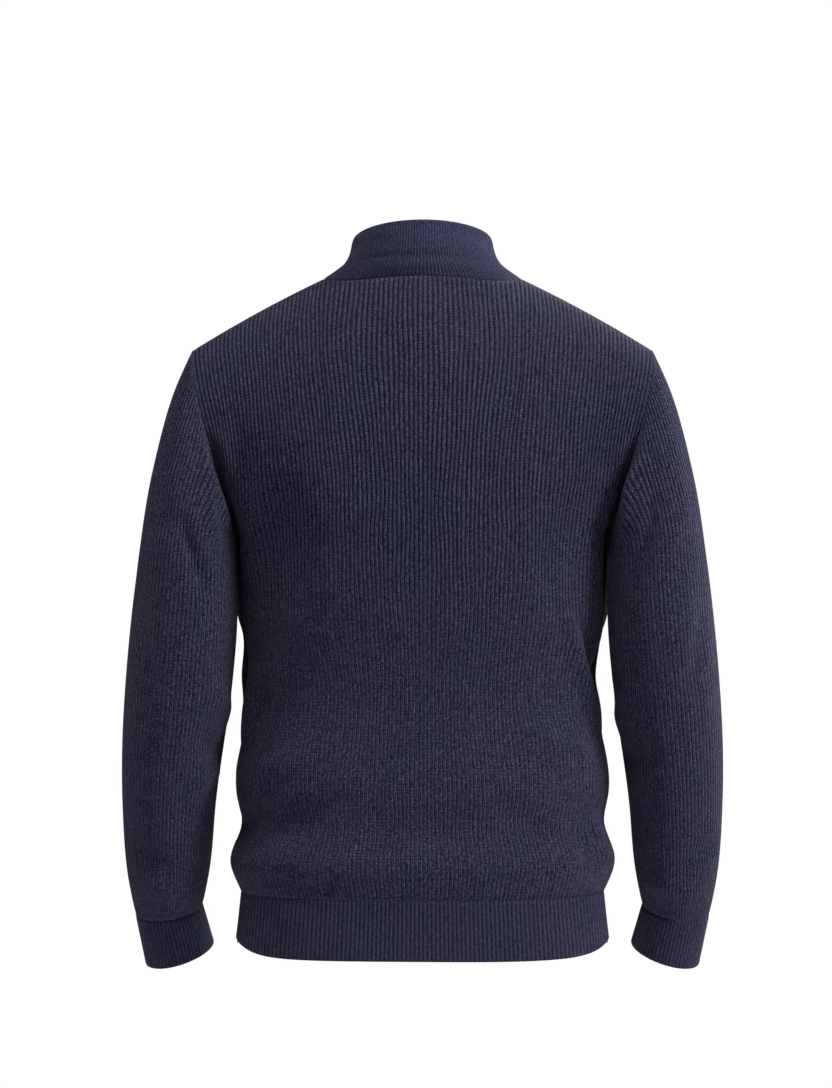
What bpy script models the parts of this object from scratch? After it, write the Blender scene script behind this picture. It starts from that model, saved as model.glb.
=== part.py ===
"""A half-zip sweater with a stand collar, rib knit, hollow and filled out as it is when worn.

Metres, +Z up.  The garment's front faces -Y and its back +Y; its left sleeve is at +X.
The origin lies midway between the two points where the shoulder seams meet the collar.

Every cloth piece is a wall: a grid of points on the garment's outer surface, ribbed by
sinking every other column, over a plain and coarser inside.  Rows of the grids come from
the tables below, columns run along the ribs of the knit.
"""

from collections import namedtuple
from math import cos, pi, radians, sin

import bmesh
import bpy
import numpy as np
from mathutils import Matrix, Vector

BACK, FRONT = 1, -1
LEFT, RIGHT = 1, -1

# ---- cloth and seams ---------------------------------------------------------------------
CLOTH = 0.0032              # crest of a rib to the inside
BODY_RIB_DEPTH = 0.0010
SLEEVE_RIB_DEPTH = 0.0010
COLLAR_RIB_DEPTH = 0.0006
SEAM_GAP = 0.0003
NECK_GAP = 0.0005            # the neckline turns in two directions at the shoulder seams
ARMHOLE_GAP = 0.0005         # and so does the armhole at the shoulder tip and the underarm

# ---- ribs: each coarse cell of the plain inside carries a few ribs -------------------------
NECK_CELLS = 5              # from the centre line to the shoulder seam's neck end
SHOULDER_CELLS = 6          # from there to the side
BODY_RIBS_PER_CELL = 4
SLEEVE_RIBS_PER_CELL = 4
CUFF_RIBS_PER_CELL = 3
SLEEVE_CELLS = 16
NECK_SHARE = NECK_CELLS / (NECK_CELLS + SHOULDER_CELLS)

# ---- torso -------------------------------------------------------------------------------
NECK_END = np.array((0.0995, -0.003, 0.0))          # where a shoulder seam meets the collar
SHOULDER_TIP = np.array((0.2305, 0.0, -0.0720))
SHOULDER_BOW = 0.0025       # rise of the shoulder seam above a straight line
SQUARENESS = 2.25           # 2 is an ellipse, more is squarer
SIDE_SEAM_Y = -0.004
UNDERARM_Z = -0.250
YOKE_STEPS = (0.0, 0.25, 0.5, 0.75, 1.0)    # rows between the shoulder and the underarm

TorsoRow = namedtuple("TorsoRow", "z half_width back front")
TORSO = (
    TorsoRow(UNDERARM_Z, 0.1850, 0.122, -0.127),    # underarm
    TorsoRow(-0.335, 0.1822, 0.113, -0.122),        # below the arm's pressure
    TorsoRow(-0.408, 0.1728, 0.101, -0.114),        # waist
    TorsoRow(-0.511, 0.1865, 0.111, -0.115),        # upper puff
    TorsoRow(-0.543, 0.1815, 0.109, -0.112),        # pinch between the puffs
    TorsoRow(-0.583, 0.1922, 0.120, -0.119),        # lower puff
    TorsoRow(-0.6115, 0.1816, 0.114, -0.111),       # top of the hem rib
)
HEM = (
    TorsoRow(-0.6118, 0.1816, 0.114, -0.111),
    TorsoRow(-0.6660, 0.1868, 0.119, -0.115),
)

# The yoke is one smooth surface, spanned by curves from a ridge down to the underarm.  The
# ridge is the shoulder seam and, between the seams, an arch over the neck opening; the
# neckline is cut out of the surface.  A curve's two handles are ways from its two ends.
NECK_RISE = 0.0235          # the arch goes on from the shoulder seams at their own slope
NECK_CUT = {BACK: 0.27, FRONT: 0.36}        # share of the middle curve above the neckline
NECK_FAN = 0.85             # how much the ribs crowd towards the neck ends, 1 by even angles
Handle = namedtuple("Handle", "x y z")
LEAVE = {       # at the centre line and at the shoulder tip
    BACK: (Handle(0.0, 0.1055, 0.0244), Handle(0.006, 0.075, -0.012)),
    FRONT: (Handle(0.0, -0.0843, -0.0409), Handle(0.006, -0.072, -0.014)),
}
LEAVE_SPREAD = 0.35         # share over which the first handle turns to the shoulder's
ARRIVE = (Handle(0.0, 0.0, 0.088), Handle(0.008, 0.0, 0.026))     # at the centre and the side
ARRIVE_DEPTH = 0.078        # the armhole's own depth, where the chest has none
ARRIVE_POWER = 4

# ---- collar: rings round the neck above the neckline, lower at the front ----------------------
CollarRow = namedtuple("CollarRow", "half_width side_y back_y front_y side_z back_z front_z")
COLLAR = (
    CollarRow(0.0800, 0.000, 0.0695, -0.0725, 0.0130, 0.0180, -0.036),      # throat
    CollarRow(0.0690, 0.004, 0.0680, -0.0600, 0.0380, 0.0540, 0.018),       # top edge
)
SLIT_HALF = 0.005           # half of the opening that shows the zip
SLIT_RIBS = 2               # ribs across that width below the zip

# ---- sleeves: outer and inner edge of each ring, then its middle and depth --------------------
SleeveRow = namedtuple("SleeveRow", "outer_x outer_z inner_x inner_z mid_y half_depth back_dip")
SLEEVE = (
    SleeveRow(0.2495, -0.118, 0.1860, -0.264, 0.008, 0.068, 0.000),
    SleeveRow(0.2678, -0.190, 0.1856, -0.285, 0.018, 0.070, 0.000),
    SleeveRow(0.2823, -0.280, 0.1838, -0.330, 0.022, 0.068, 0.001),
    SleeveRow(0.2952, -0.400, 0.1890, -0.402, 0.020, 0.062, 0.004),     # elbow
    SleeveRow(0.3000, -0.525, 0.2065, -0.522, -0.002, 0.053, 0.009),
    SleeveRow(0.2960, -0.598, 0.2140, -0.592, -0.022, 0.047, 0.010),    # fullness on the cuff
    SleeveRow(0.2895, -0.6365, 0.2215, -0.6285, -0.033, 0.0375, 0.009),
)
CUFF = (
    SleeveRow(0.28945, -0.6368, 0.22145, -0.6288, -0.0331, 0.0375, 0.009),
    SleeveRow(0.2800, -0.6880, 0.2108, -0.6690, -0.0460, 0.0385, 0.010),
)
ARMHOLE_FADE = (1.0, 0.45, 0.12)    # share of the armhole's own shape left in the first rings
ARMHOLE_HALF_DEPTH = 0.057

# ---- zip ------------------------------------------------------------------------------------
TAPE_INNER_X = 0.0028
TAPE_REACH = 0.4            # share of the front's first coarse cell that the tape covers
TAPE_THICKNESS = 0.0008
CHAIN_HALF = 0.0025
CHAIN_THICKNESS = 0.0024
TAPE_DEPTH = CLOTH + 0.0006
CHAIN_DEPTH = TAPE_DEPTH + (TAPE_THICKNESS - CHAIN_THICKNESS) / 2
STOP_LENGTH = 0.0035
STOP_CLEARANCE = 0.0010     # above the slit's lower edge
SLIDER_LENGTH = 0.0100
SLIDER_HALF_WIDTH = 0.0042
SLIDER_PLATE = 0.0011
SLIDER_DROP = 0.0010        # below the collar's top edge
POST_LENGTH = 0.0032
POST_HALF_WIDTH = 0.0013
BAIL_HALF_WIDTH = 0.0010
BAIL_HALF_LENGTH = 0.0036
BAIL_RISE = 0.0025          # clear height under the bail
BAIL_METAL = 0.0010
TAB_LENGTH = 0.0260
TAB_HALF_WIDTH = 0.0034
TAB_THICKNESS = 0.0014
TAB_BAR = 0.0014            # the eye's bar, under the bail
TAB_EYE_LENGTH = 0.0054
TAB_EYE_HALF_WIDTH = 0.0017

# ---- finishes: colour, roughness, metallic ------------------------------------------------------
Finish = namedtuple("Finish", "colour roughness metallic")
FINISHES = {
    "knit": Finish((0.027, 0.027, 0.052), 0.95, 0.0),
    "rib": Finish((0.033, 0.033, 0.062), 0.95, 0.0),
    "tape": Finish((0.014, 0.014, 0.026), 0.90, 0.0),
    "metal": Finish((0.16, 0.16, 0.17), 0.35, 1.0),
}


# ---- points ------------------------------------------------------------------------------------
def unit(vectors):
    """Vectors scaled to length 1."""
    return vectors / np.linalg.norm(vectors, axis=-1, keepdims=True)


def resample(path, shares):
    """Points of a polyline at shares of its length, from 0 to 1."""
    steps = np.linalg.norm(np.diff(path, axis=0), axis=1)
    along = np.concatenate(([0.0], np.cumsum(steps))) / steps.sum()
    return np.stack([np.interp(shares, along, path[:, axis]) for axis in range(3)], axis=-1)


def girth(row, side, shares):
    """One panel's level line at a torso row; shares run from -1 at one side seam to 1."""
    turn = np.linspace(-pi / 2, pi / 2, 241)
    swell = (np.abs(np.sin(turn)) ** SQUARENESS + np.abs(np.cos(turn)) ** SQUARENESS) ** (-1 / SQUARENESS)
    middle = row.back if side == BACK else row.front
    x = row.half_width * np.sin(turn) * swell
    y = SIDE_SEAM_Y + (middle - SIDE_SEAM_Y) * np.cos(turn) * swell
    return resample(np.stack([x, y, np.full_like(x, row.z)], axis=-1), (shares + 1) / 2)


def fan(steps):
    """Shares of the neck's half width at even steps from the middle to the neck end."""
    return NECK_FAN * np.sin(steps * pi / 2) + (1 - NECK_FAN) * steps


def collar_quarter(row, side, steps, start=0.0):
    """A quarter of a collar ring, from a start beside its middle to its left side."""
    share = start / row.half_width + (1 - start / row.half_width) * fan(steps)
    middle_y, middle_z = (row.back_y, row.back_z) if side == BACK else (row.front_y, row.front_z)
    towards = np.sqrt(1 - share ** 2)
    return np.stack([row.half_width * share,
                     row.side_y + (middle_y - row.side_y) * towards,
                     row.side_z + (middle_z - row.side_z) * towards], axis=-1)


def ridge(shares):
    """The shoulder seams and the arch between them."""
    out = np.abs(shares)
    neck = np.clip(out / NECK_SHARE, 0, 1)[:, None]
    along = np.clip((out - NECK_SHARE) / (1 - NECK_SHARE), 0, 1)[:, None]
    points = NECK_END * (1, 1, 0) * np.hstack((neck, np.ones_like(neck), neck))
    points = points + (SHOULDER_TIP - NECK_END) * along
    points[:, 2] += NECK_RISE * (1 - neck[:, 0] ** 2) + SHOULDER_BOW * 4 * (along * (1 - along))[:, 0]
    points[:, 0] *= np.sign(shares)
    return points


def yoke(side, shares, steps):
    """Points of the yoke: steps run from the ridge (0) to the underarm level (1)."""
    out, sign = np.abs(shares), np.sign(shares)
    start, stop = ridge(shares), girth(TORSO[0], side, shares)
    middle, tip = (np.array(handle) for handle in LEAVE[side])
    leave = start + (tip + np.outer(np.exp(-(out / LEAVE_SPREAD) ** 2), middle - tip)) \
        * np.stack((sign * out ** 2, np.ones_like(out), np.ones_like(out)), axis=-1)
    middle, edge = (np.array(handle) for handle in ARRIVE)
    turned = out ** ARRIVE_POWER
    arrive = stop + np.stack((sign * turned * edge[0], np.zeros_like(out),
                              middle[2] + turned * (edge[2] - middle[2])), axis=-1)
    arrive[:, 1] = side * (np.abs(stop[:, 1]) ** 4 + ARRIVE_DEPTH ** 4) ** 0.25
    t = steps[:, None]
    return ((1 - t) ** 3 * start + 3 * (1 - t) ** 2 * t * leave
            + 3 * (1 - t) * t ** 2 * arrive + t ** 3 * stop)


def panel(side, shares):
    """Points of a torso panel: rows from its upper edge to the top of the hem rib."""
    inside = np.clip(np.abs(shares) / NECK_SHARE, 0, 1)
    fanned = np.where(inside < 1, np.sign(shares) * NECK_SHARE * fan(inside), shares)
    first = NECK_CUT[side] * np.sqrt(1 - fan(inside) ** 2)
    rows = [yoke(side, shares + (fanned - shares) * (1 - step) ** 2, first + (1 - first) * step)
            for step in YOKE_STEPS]
    return np.array(rows + [girth(row, side, shares) for row in TORSO[1:]])


def sleeve_ring(row, side, turns):
    """Points round a sleeve; turn 0 is the outer edge, pi/2 the back, pi the inner edge."""
    outer = np.array((row.outer_x, row.mid_y, row.outer_z))
    inner = np.array((row.inner_x, row.mid_y, row.inner_z))
    depth = np.array((0.0, row.half_depth, -row.back_dip))
    points = ((outer + inner) / 2 + np.outer(np.cos(turns), (outer - inner) / 2)
              + np.outer(np.sin(turns), depth))
    return points * (side, 1, 1)


def inward(grid, facing, closed=False):
    """Unit normals of a grid, pointing into the garment; facing is 1 or -1."""
    if closed:
        across = np.roll(grid, -1, axis=1) - np.roll(grid, 1, axis=1)
    else:
        across = np.gradient(grid, axis=1)
    return facing * unit(np.cross(across, np.gradient(grid, axis=0)))


def square_to_seam(normals):
    """Normals at a shoulder or side seam, turned to lie in the seam's own plane."""
    return unit(normals * (1, 0, 1))


def columns(cells, ribs_per_cell):
    """The fine columns on which the coarse cells of the plain inside begin and end."""
    return [cell * ribs_per_cell * 2 for cell in range(cells + 1)]


def ribbed(count, depth):
    """How far each column is sunk: troughs at the even ones, crests at the odd ones."""
    return depth * (np.arange(count) % 2 == 0)


# ---- meshes -----------------------------------------------------------------------------------
def finish_material(name):
    """The Principled material of a finish, made once."""
    if name in bpy.data.materials:
        return bpy.data.materials[name]
    finish = FINISHES[name]
    material = bpy.data.materials.new(name)
    material.use_nodes = True
    shader = material.node_tree.nodes["Principled BSDF"]
    shader.inputs["Base Color"].default_value = (*finish.colour, 1.0)
    shader.inputs["Roughness"].default_value = finish.roughness
    shader.inputs["Metallic"].default_value = finish.metallic
    return material


def add_object(name, mesh, finish, collection):
    """Puts a mesh in the collection under its node's name."""
    item = bpy.data.objects.new(name, mesh)
    item.data.materials.append(finish_material(finish))
    collection.objects.link(item)
    return item


def wall(name, skin, normals, sink, posts, finish, collection, closed=False, thickness=CLOTH,
         slit_cell=None, slit_rows=0):
    """A cloth wall: a ribbed outer grid over a plain inside that has only the posts' columns.

    posts are the outer columns where a coarse cell ends.  slit_cell is left out of the first
    slit_rows rows of cells.
    """
    rows, count = skin.shape[:2]
    shell = bmesh.new()
    outer = skin + normals * sink[None, :, None]
    plain = [post % count for post in (posts[:-1] if closed else posts)]
    inner = skin[:, plain] + normals[:, plain] * thickness
    face_out = [[shell.verts.new(point) for point in row] for row in outer]
    face_in = [[shell.verts.new(point) for point in row] for row in inner]
    cells = list(zip(posts, posts[1:]))

    def quad(*corners):
        shell.faces.new(corners)

    def end_rim(row, cell):
        """Closes the wall along one coarse cell's upper or lower edge."""
        start, stop = cells[cell]
        middle = (start + stop) // 2
        left, right = face_in[row][cell], face_in[row][(cell + 1) % len(plain)]
        for column in range(start, stop):
            near = left if column < middle else right
            quad(face_out[row][column % count], face_out[row][(column + 1) % count], near)
        quad(left, face_out[row][middle % count], right)

    def side_rim(column, post, row):
        """Closes the wall down one row of an open edge."""
        quad(face_out[row][column], face_out[row + 1][column], face_in[row + 1][post], face_in[row][post])

    for cell, (start, stop) in enumerate(cells):
        first = slit_rows if cell == slit_cell else 0
        for row in range(first, rows - 1):
            for column in range(start, stop):
                after = (column + 1) % count
                quad(face_out[row][column], face_out[row][after],
                     face_out[row + 1][after], face_out[row + 1][column])
            beside = (cell + 1) % len(plain)
            near, far = (cell, beside) if inner[row, cell, 0] + inner[row, beside, 0] > 0 else (beside, cell)
            quad(face_in[row][near], face_in[row + 1][near],
                 face_in[row + 1][far], face_in[row][far])
        end_rim(first, cell)
        end_rim(rows - 1, cell)
        if cell == slit_cell:
            for row in range(first):
                side_rim(start, cell, row)
                side_rim(stop, cell + 1, row)
    if not closed:
        for row in range(rows - 1):
            side_rim(posts[0], 0, row)
            side_rim(posts[-1], len(posts) - 1, row)

    bmesh.ops.delete(shell, geom=[vert for vert in shell.verts if not vert.link_faces], context="VERTS")
    bmesh.ops.recalc_face_normals(shell, faces=shell.faces)
    if shell.calc_volume(signed=True) < 0:
        bmesh.ops.reverse_faces(shell, faces=shell.faces)
    mesh = bpy.data.meshes.new(name)
    shell.to_mesh(mesh)
    shell.free()
    return add_object(name, mesh, finish, collection)


# ---- torso -----------------------------------------------------------------------------------
HALF_CELLS = NECK_CELLS + SHOULDER_CELLS
HALF_COLUMNS = HALF_CELLS * BODY_RIBS_PER_CELL * 2
NECK_COLUMNS = NECK_CELLS * BODY_RIBS_PER_CELL * 2      # of a panel's half, and of the collar's quarter
YOKE_ROWS = len(YOKE_STEPS) - 1     # rows of cells above the underarm; the slit ends there


def back_shares():
    """Where the back's columns stand, from the right side seam (-1) to the left (1)."""
    return np.linspace(-1, 1, 2 * HALF_COLUMNS + 1)


def front_shares():
    """The front's columns: two halves, and two ribs across the slit's width between them."""
    slit_share = SLIT_HALF / 0.26
    half = np.concatenate((np.linspace(slit_share, NECK_SHARE, NECK_COLUMNS + 1),
                           np.linspace(NECK_SHARE, 1, HALF_COLUMNS - NECK_COLUMNS + 1)[1:]))
    middle = np.linspace(-slit_share, slit_share, 2 * SLIT_RIBS + 1)[1:-1]
    return np.concatenate((-half[::-1], middle, half))


def front_posts():
    """The front's coarse columns, with the slit's cell in the middle."""
    half = columns(HALF_CELLS, BODY_RIBS_PER_CELL)
    return half + [post + HALF_COLUMNS + 2 * SLIT_RIBS for post in half]


def straighten_slit(grid, slit_rows):
    """Sets the slit's two edges to the opening's width, with the next columns eased over."""
    left, right = HALF_COLUMNS, HALF_COLUMNS + 2 * SLIT_RIBS
    reach_columns = 6
    for row in range(slit_rows + 1):
        shift = SLIT_HALF - grid[row, right, 0]
        for step in range(reach_columns):
            ease = shift * (1 - step / reach_columns)
            grid[row, right + step, 0] += ease
            grid[row, left - step, 0] -= ease
    return grid


class Torso:
    """The two panels' grids and normals, and the seams that the other pieces share."""

    def __init__(self):
        self.points = {BACK: panel(BACK, back_shares()), FRONT: panel(FRONT, front_shares())}
        self.points[FRONT] = straighten_slit(self.points[FRONT], YOKE_ROWS)
        self.normals = {side: inward(grid, -side) for side, grid in self.points.items()}
        self.neck_ends = {
            BACK: [HALF_COLUMNS - NECK_COLUMNS, HALF_COLUMNS + NECK_COLUMNS],
            FRONT: [HALF_COLUMNS - NECK_COLUMNS, HALF_COLUMNS + 2 * SLIT_RIBS + NECK_COLUMNS],
        }
        for side, grid in self.normals.items():
            right_neck, left_neck = self.neck_ends[side]
            grid[0, :right_neck + 1] = self.shoulder_normal(RIGHT)
            grid[0, left_neck:] = self.shoulder_normal(LEFT)
            grid[YOKE_ROWS:, [0, -1]] = square_to_seam(grid[YOKE_ROWS:, [0, -1]])

    @staticmethod
    def shoulder_normal(side):
        """Square to the shoulder seam, pointing into the garment."""
        run = SHOULDER_TIP - NECK_END
        return unit(np.array((side * run[2], 0.0, -run[0])))

    def armhole(self, side):
        """The armhole's corner points, from the shoulder tip down the back and up the front."""
        edge = -1 if side == LEFT else 0
        down = self.points[BACK][:YOKE_ROWS + 1, edge]
        up = self.points[FRONT][YOKE_ROWS - 1:0:-1, edge]
        return np.concatenate((down, up))

    def armhole_normals(self, side):
        """The panels' normals at those points."""
        edge = -1 if side == LEFT else 0
        down = self.normals[BACK][:YOKE_ROWS + 1, edge]
        up = self.normals[FRONT][YOKE_ROWS - 1:0:-1, edge]
        return np.concatenate((down, up))

    def set_armhole_normals(self, side, values):
        """Writes the normals that the panels and the sleeve agree on."""
        edge = -1 if side == LEFT else 0
        self.normals[BACK][:YOKE_ROWS + 1, edge] = values[:YOKE_ROWS + 1]
        self.normals[FRONT][:YOKE_ROWS + 1, edge] = values[:YOKE_ROWS - 1:-1]

    def neckline(self, values, side):
        """A view of a panel's points or normals along its part of the neckline."""
        right_neck, left_neck = self.neck_ends[side]
        return values[side][0, right_neck:left_neck + 1]


def build_torso(torso, collection):
    """The back and front panels, half a seam gap either side of the side seams."""
    posts = {BACK: columns(2 * HALF_CELLS, BODY_RIBS_PER_CELL), FRONT: front_posts()}
    for name, side in (("back", BACK), ("front", FRONT)):
        skin = torso.points[side] + (0, side * SEAM_GAP / 2, 0)
        wall(name, skin, torso.normals[side], ribbed(skin.shape[1], BODY_RIB_DEPTH), posts[side],
             "knit", collection, slit_cell=HALF_CELLS if side == FRONT else None,
             slit_rows=YOKE_ROWS if side == FRONT else 0)


def build_hem(collection):
    """The hem rib under each panel."""
    for name, side in (("hem_back", BACK), ("hem_front", FRONT)):
        shares = back_shares()
        skin = np.array([girth(row, side, shares) for row in HEM])
        normals = inward(skin, -side)
        normals[:, [0, -1]] = square_to_seam(normals[:, [0, -1]])
        normals[0] = unit(normals[0] * (1, 1, 0))
        skin = skin + (0, side * SEAM_GAP / 2, 0)
        wall(name, skin, normals, ribbed(skin.shape[1], BODY_RIB_DEPTH),
             columns(2 * HALF_CELLS, BODY_RIBS_PER_CELL), "rib", collection)


# ---- collar ---------------------------------------------------------------------------------
def collar_grid(torso):
    """Collar points from the slit's left edge round the back to its right edge."""
    steps = np.linspace(0, 1, NECK_COLUMNS + 1)
    back = torso.neckline(torso.points, BACK)[::-1]
    front = torso.neckline(torso.points, FRONT)
    rings = [np.concatenate((front[-(NECK_COLUMNS + 1):], back[1:], front[1:NECK_COLUMNS + 1]))]
    for row in COLLAR:
        left = np.concatenate((collar_quarter(row, FRONT, steps, SLIT_HALF),
                               collar_quarter(row, BACK, steps)[::-1][1:]))
        rings.append(np.concatenate((left, left[::-1][1:] * (-1, 1, 1))))
    return np.array(rings)


def build_collar(torso, collection):
    """The stand collar, a seam's gap above the neckline, with normals that it shares there."""
    skin = collar_grid(torso)
    normals = inward(skin, -1)
    normals[0] = shared_neck_normals(torso, normals[0])
    along = np.gradient(skin[0], axis=0)
    skin[0] += NECK_GAP * unit(np.cross(along, normals[0]))
    wall("collar", skin, normals, ribbed(skin.shape[1], COLLAR_RIB_DEPTH),
         columns(4 * NECK_CELLS, BODY_RIBS_PER_CELL), "rib", collection)
    return skin, normals


def shared_neck_normals(torso, collar_normals):
    """Averages the panels' and the collar's normals along the neckline, and sets the panels'."""
    back = torso.neckline(torso.normals, BACK)
    front = torso.neckline(torso.normals, FRONT)
    front_left, front_right = front[-(NECK_COLUMNS + 1):], front[:NECK_COLUMNS + 1]
    panels = np.concatenate((front_left, back[::-1][1:], front_right[1:]))
    shared = unit(unit(panels) + collar_normals)
    for corner in (NECK_COLUMNS, 3 * NECK_COLUMNS):
        shared[corner] = square_to_seam(shared[corner])
    front_left[:] = shared[:NECK_COLUMNS + 1]
    back[:] = shared[NECK_COLUMNS:3 * NECK_COLUMNS + 1][::-1]
    front_right[:] = shared[3 * NECK_COLUMNS:]
    return shared


# ---- sleeves ---------------------------------------------------------------------------------
class Sleeve:
    """One sleeve's grid, seated in the torso's armhole."""

    def __init__(self, torso, side):
        self.side = side
        self.count = SLEEVE_CELLS * SLEEVE_RIBS_PER_CELL * 2
        turns = np.arange(self.count) * 2 * pi / self.count
        self.corners = np.append(torso.armhole(side), torso.armhole(side)[:1], axis=0)
        seam = self.along(self.corners)
        rings = [seam] + [sleeve_ring(row, side, turns) for row in SLEEVE]
        tip, underarm = self.corners[0], self.corners[YOKE_ROWS]
        plain = ((tip + underarm) / 2 + np.outer(np.cos(turns), (tip - underarm) / 2)
                 + np.outer(np.sin(turns), (0, ARMHOLE_HALF_DEPTH, 0)))
        for ring, fade in zip(rings[1:], ARMHOLE_FADE[1:]):
            ring += fade * (seam - plain)
        self.points = np.array(rings)
        self.normals = inward(self.points, side, closed=True)
        self.agree(torso)

    def along(self, corners):
        """Values at the sleeve's columns, read along the armhole's corner points."""
        at = np.linspace(0, len(corners) - 1, self.count + 1)[:-1]
        steps = np.arange(len(corners))
        return np.stack([np.interp(at, steps, corners[:, axis]) for axis in range(3)], axis=-1)

    def agree(self, torso):
        """Gives the panels and the sleeve matching normals at the seam, and opens the gap."""
        panels = unit(torso.armhole_normals(self.side))
        step = self.count // len(panels)
        own = self.normals[0, ::step]
        corners = self.corners[:-1]
        towards_middle = unit(corners.mean(axis=0) - corners)
        shared = unit(panels + own + 0.4 * towards_middle)
        apart = np.clip(0.5 - (panels * own).sum(axis=1, keepdims=True), 0, None) * 1.5
        of_panels, of_sleeve = unit(shared + apart * panels), unit(shared + apart * own)
        for seam_end in (0, YOKE_ROWS):
            of_panels[seam_end] = square_to_seam(of_panels[seam_end])
            of_sleeve[seam_end] = square_to_seam(of_sleeve[seam_end])
        torso.set_armhole_normals(self.side, np.append(of_panels, of_panels[:1], axis=0))
        self.normals[0] = self.along(np.append(of_sleeve, of_sleeve[:1], axis=0))
        tangents = np.roll(corners, -1, axis=0) - np.roll(corners, 1, axis=0)
        away = unit(np.cross(tangents, shared))
        away *= np.sign(away[:, :1]) * self.side
        self.points[0] += ARMHOLE_GAP * self.along(np.append(away, away[:1], axis=0))


def build_sleeves(torso, collection):
    """Both sleeves; the armholes' normals are settled before the panels are built."""
    for name, side in (("sleeve_left", LEFT), ("sleeve_right", RIGHT)):
        sleeve = Sleeve(torso, side)
        wall(name, sleeve.points, sleeve.normals, ribbed(sleeve.count, SLEEVE_RIB_DEPTH),
             columns(SLEEVE_CELLS, SLEEVE_RIBS_PER_CELL), "knit", collection, closed=True)


def build_cuffs(collection):
    """The cuff ribs."""
    for name, side in (("cuff_left", LEFT), ("cuff_right", RIGHT)):
        count = SLEEVE_CELLS * CUFF_RIBS_PER_CELL * 2
        turns = np.arange(count) * 2 * pi / count
        skin = np.array([sleeve_ring(row, side, turns) for row in CUFF])
        normals = inward(skin, side, closed=True)
        wall(name, skin, normals, ribbed(count, SLEEVE_RIB_DEPTH),
             columns(SLEEVE_CELLS, CUFF_RIBS_PER_CELL), "rib", collection, closed=True)


# ---- zip -------------------------------------------------------------------------------------
class ZipLine:
    """The front's centre line, from the collar's top edge to the foot of the slit."""

    def __init__(self, torso, collar_skin, collar_normals):
        edge = HALF_COLUMNS + 2 * SLIT_RIBS
        skins = torso.points[FRONT] - (0, SEAM_GAP / 2, 0)

        def beside(collar_values, front_values, cells):
            """Values down the slit's left edge, or a number of coarse cells away from it."""
            upper = collar_values[::-1, cells * BODY_RIBS_PER_CELL * 2]
            return np.concatenate((upper, front_values[1:YOKE_ROWS + 1, edge + cells * BODY_RIBS_PER_CELL * 2]))

        points = [beside(collar_skin, skins, cells) for cells in (0, 1)]
        normals = [beside(collar_normals, torso.normals[FRONT], cells) for cells in (0, 1)]
        behind = [point + normal * TAPE_DEPTH for point, normal in zip(points, normals)]
        self.tape_near = np.stack([np.full(len(behind[0]), TAPE_INNER_X), *behind[0][:, 1:].T], axis=-1)
        self.tape_far = behind[0] + (behind[1] - behind[0]) * TAPE_REACH
        self.normals = unit(normals[0] * (0, 1, 1))
        self.points = points[0] * (0, 1, 1)
        steps = np.linalg.norm(np.diff(self.points, axis=0), axis=1)
        self.at = np.concatenate(([0.0], np.cumsum(steps)))
        self.length = self.at[-1]

    def stations(self, start, stop):
        """Distances along the line from start to stop, with its own corners between."""
        return np.array([start] + [s for s in self.at if start < s < stop] + [stop])

    def sample(self, distances):
        """Points and inward normals at distances from the collar's top edge."""
        read = [np.stack([np.interp(distances, self.at, values[:, axis]) for axis in range(3)], axis=-1)
                for values in (self.points, self.normals)]
        return read[0], read[1]

    def strip(self, name, start, stop, x_range, depth, thickness, finish, collection):
        """A flat strip along the line, between two distances to the side of it."""
        points, normals = self.sample(self.stations(start, stop))
        skin = np.stack([points + normals * depth + (x, 0, 0) for x in x_range], axis=1)
        both = np.stack([normals] * len(x_range), axis=1)
        return wall(name, skin, both, np.zeros(len(x_range)), list(range(len(x_range))), finish,
                    collection, thickness=thickness)

    def tape(self, name, side, collection):
        """A tape behind one front edge, following the inside of the collar and the front."""
        skin = np.stack((self.tape_near, self.tape_far), axis=1) * (side, 1, 1)
        across = skin[:, 1] - skin[:, 0]
        normals = side * unit(np.cross(across, np.gradient(skin[:, 0], axis=0)))
        wall(name, skin, np.stack((normals, normals), axis=1), np.zeros(2), [0, 1], "tape", collection,
             thickness=TAPE_THICKNESS)

    def frame(self, distance):
        """A point of the line, and a turn there: X across, Y down the line, Z out of the garment."""
        points = self.sample(np.array([distance, distance + 1e-4]))[0]
        down = Vector(points[1] - points[0]).normalized()
        across = Vector((-1, 0, 0))
        turn = Matrix((across, down, across.cross(down))).transposed().to_4x4()
        return Vector(points[0]), turn


def build_zip(line, collection):
    """Tapes, chain, bottom stop, slider and pull tab."""
    for name, side in (("zip_tape_left", LEFT), ("zip_tape_right", RIGHT)):
        line.tape(name, side, collection)
    stop_end = line.length - STOP_CLEARANCE
    chain_start = SLIDER_DROP + POST_LENGTH + SEAM_GAP
    line.strip("zip_chain", chain_start, stop_end - STOP_LENGTH - SEAM_GAP, (-CHAIN_HALF, CHAIN_HALF),
               CHAIN_DEPTH, CHAIN_THICKNESS, "metal", collection)
    line.strip("zip_stop", stop_end - STOP_LENGTH, stop_end, (-CHAIN_HALF, CHAIN_HALF),
               CHAIN_DEPTH, CHAIN_THICKNESS, "metal", collection)
    build_slider(line, collection)


def box(low, high):
    """A bmesh box between two corners."""
    shape = bmesh.new()
    bmesh.ops.create_cube(shape, size=1)
    low, high = Vector(low), Vector(high)
    bmesh.ops.scale(shape, vec=high - low, verts=shape.verts)
    bmesh.ops.translate(shape, vec=(low + high) / 2, verts=shape.verts)
    mesh = bpy.data.meshes.new("box")
    shape.to_mesh(mesh)
    shape.free()
    return mesh


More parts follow.
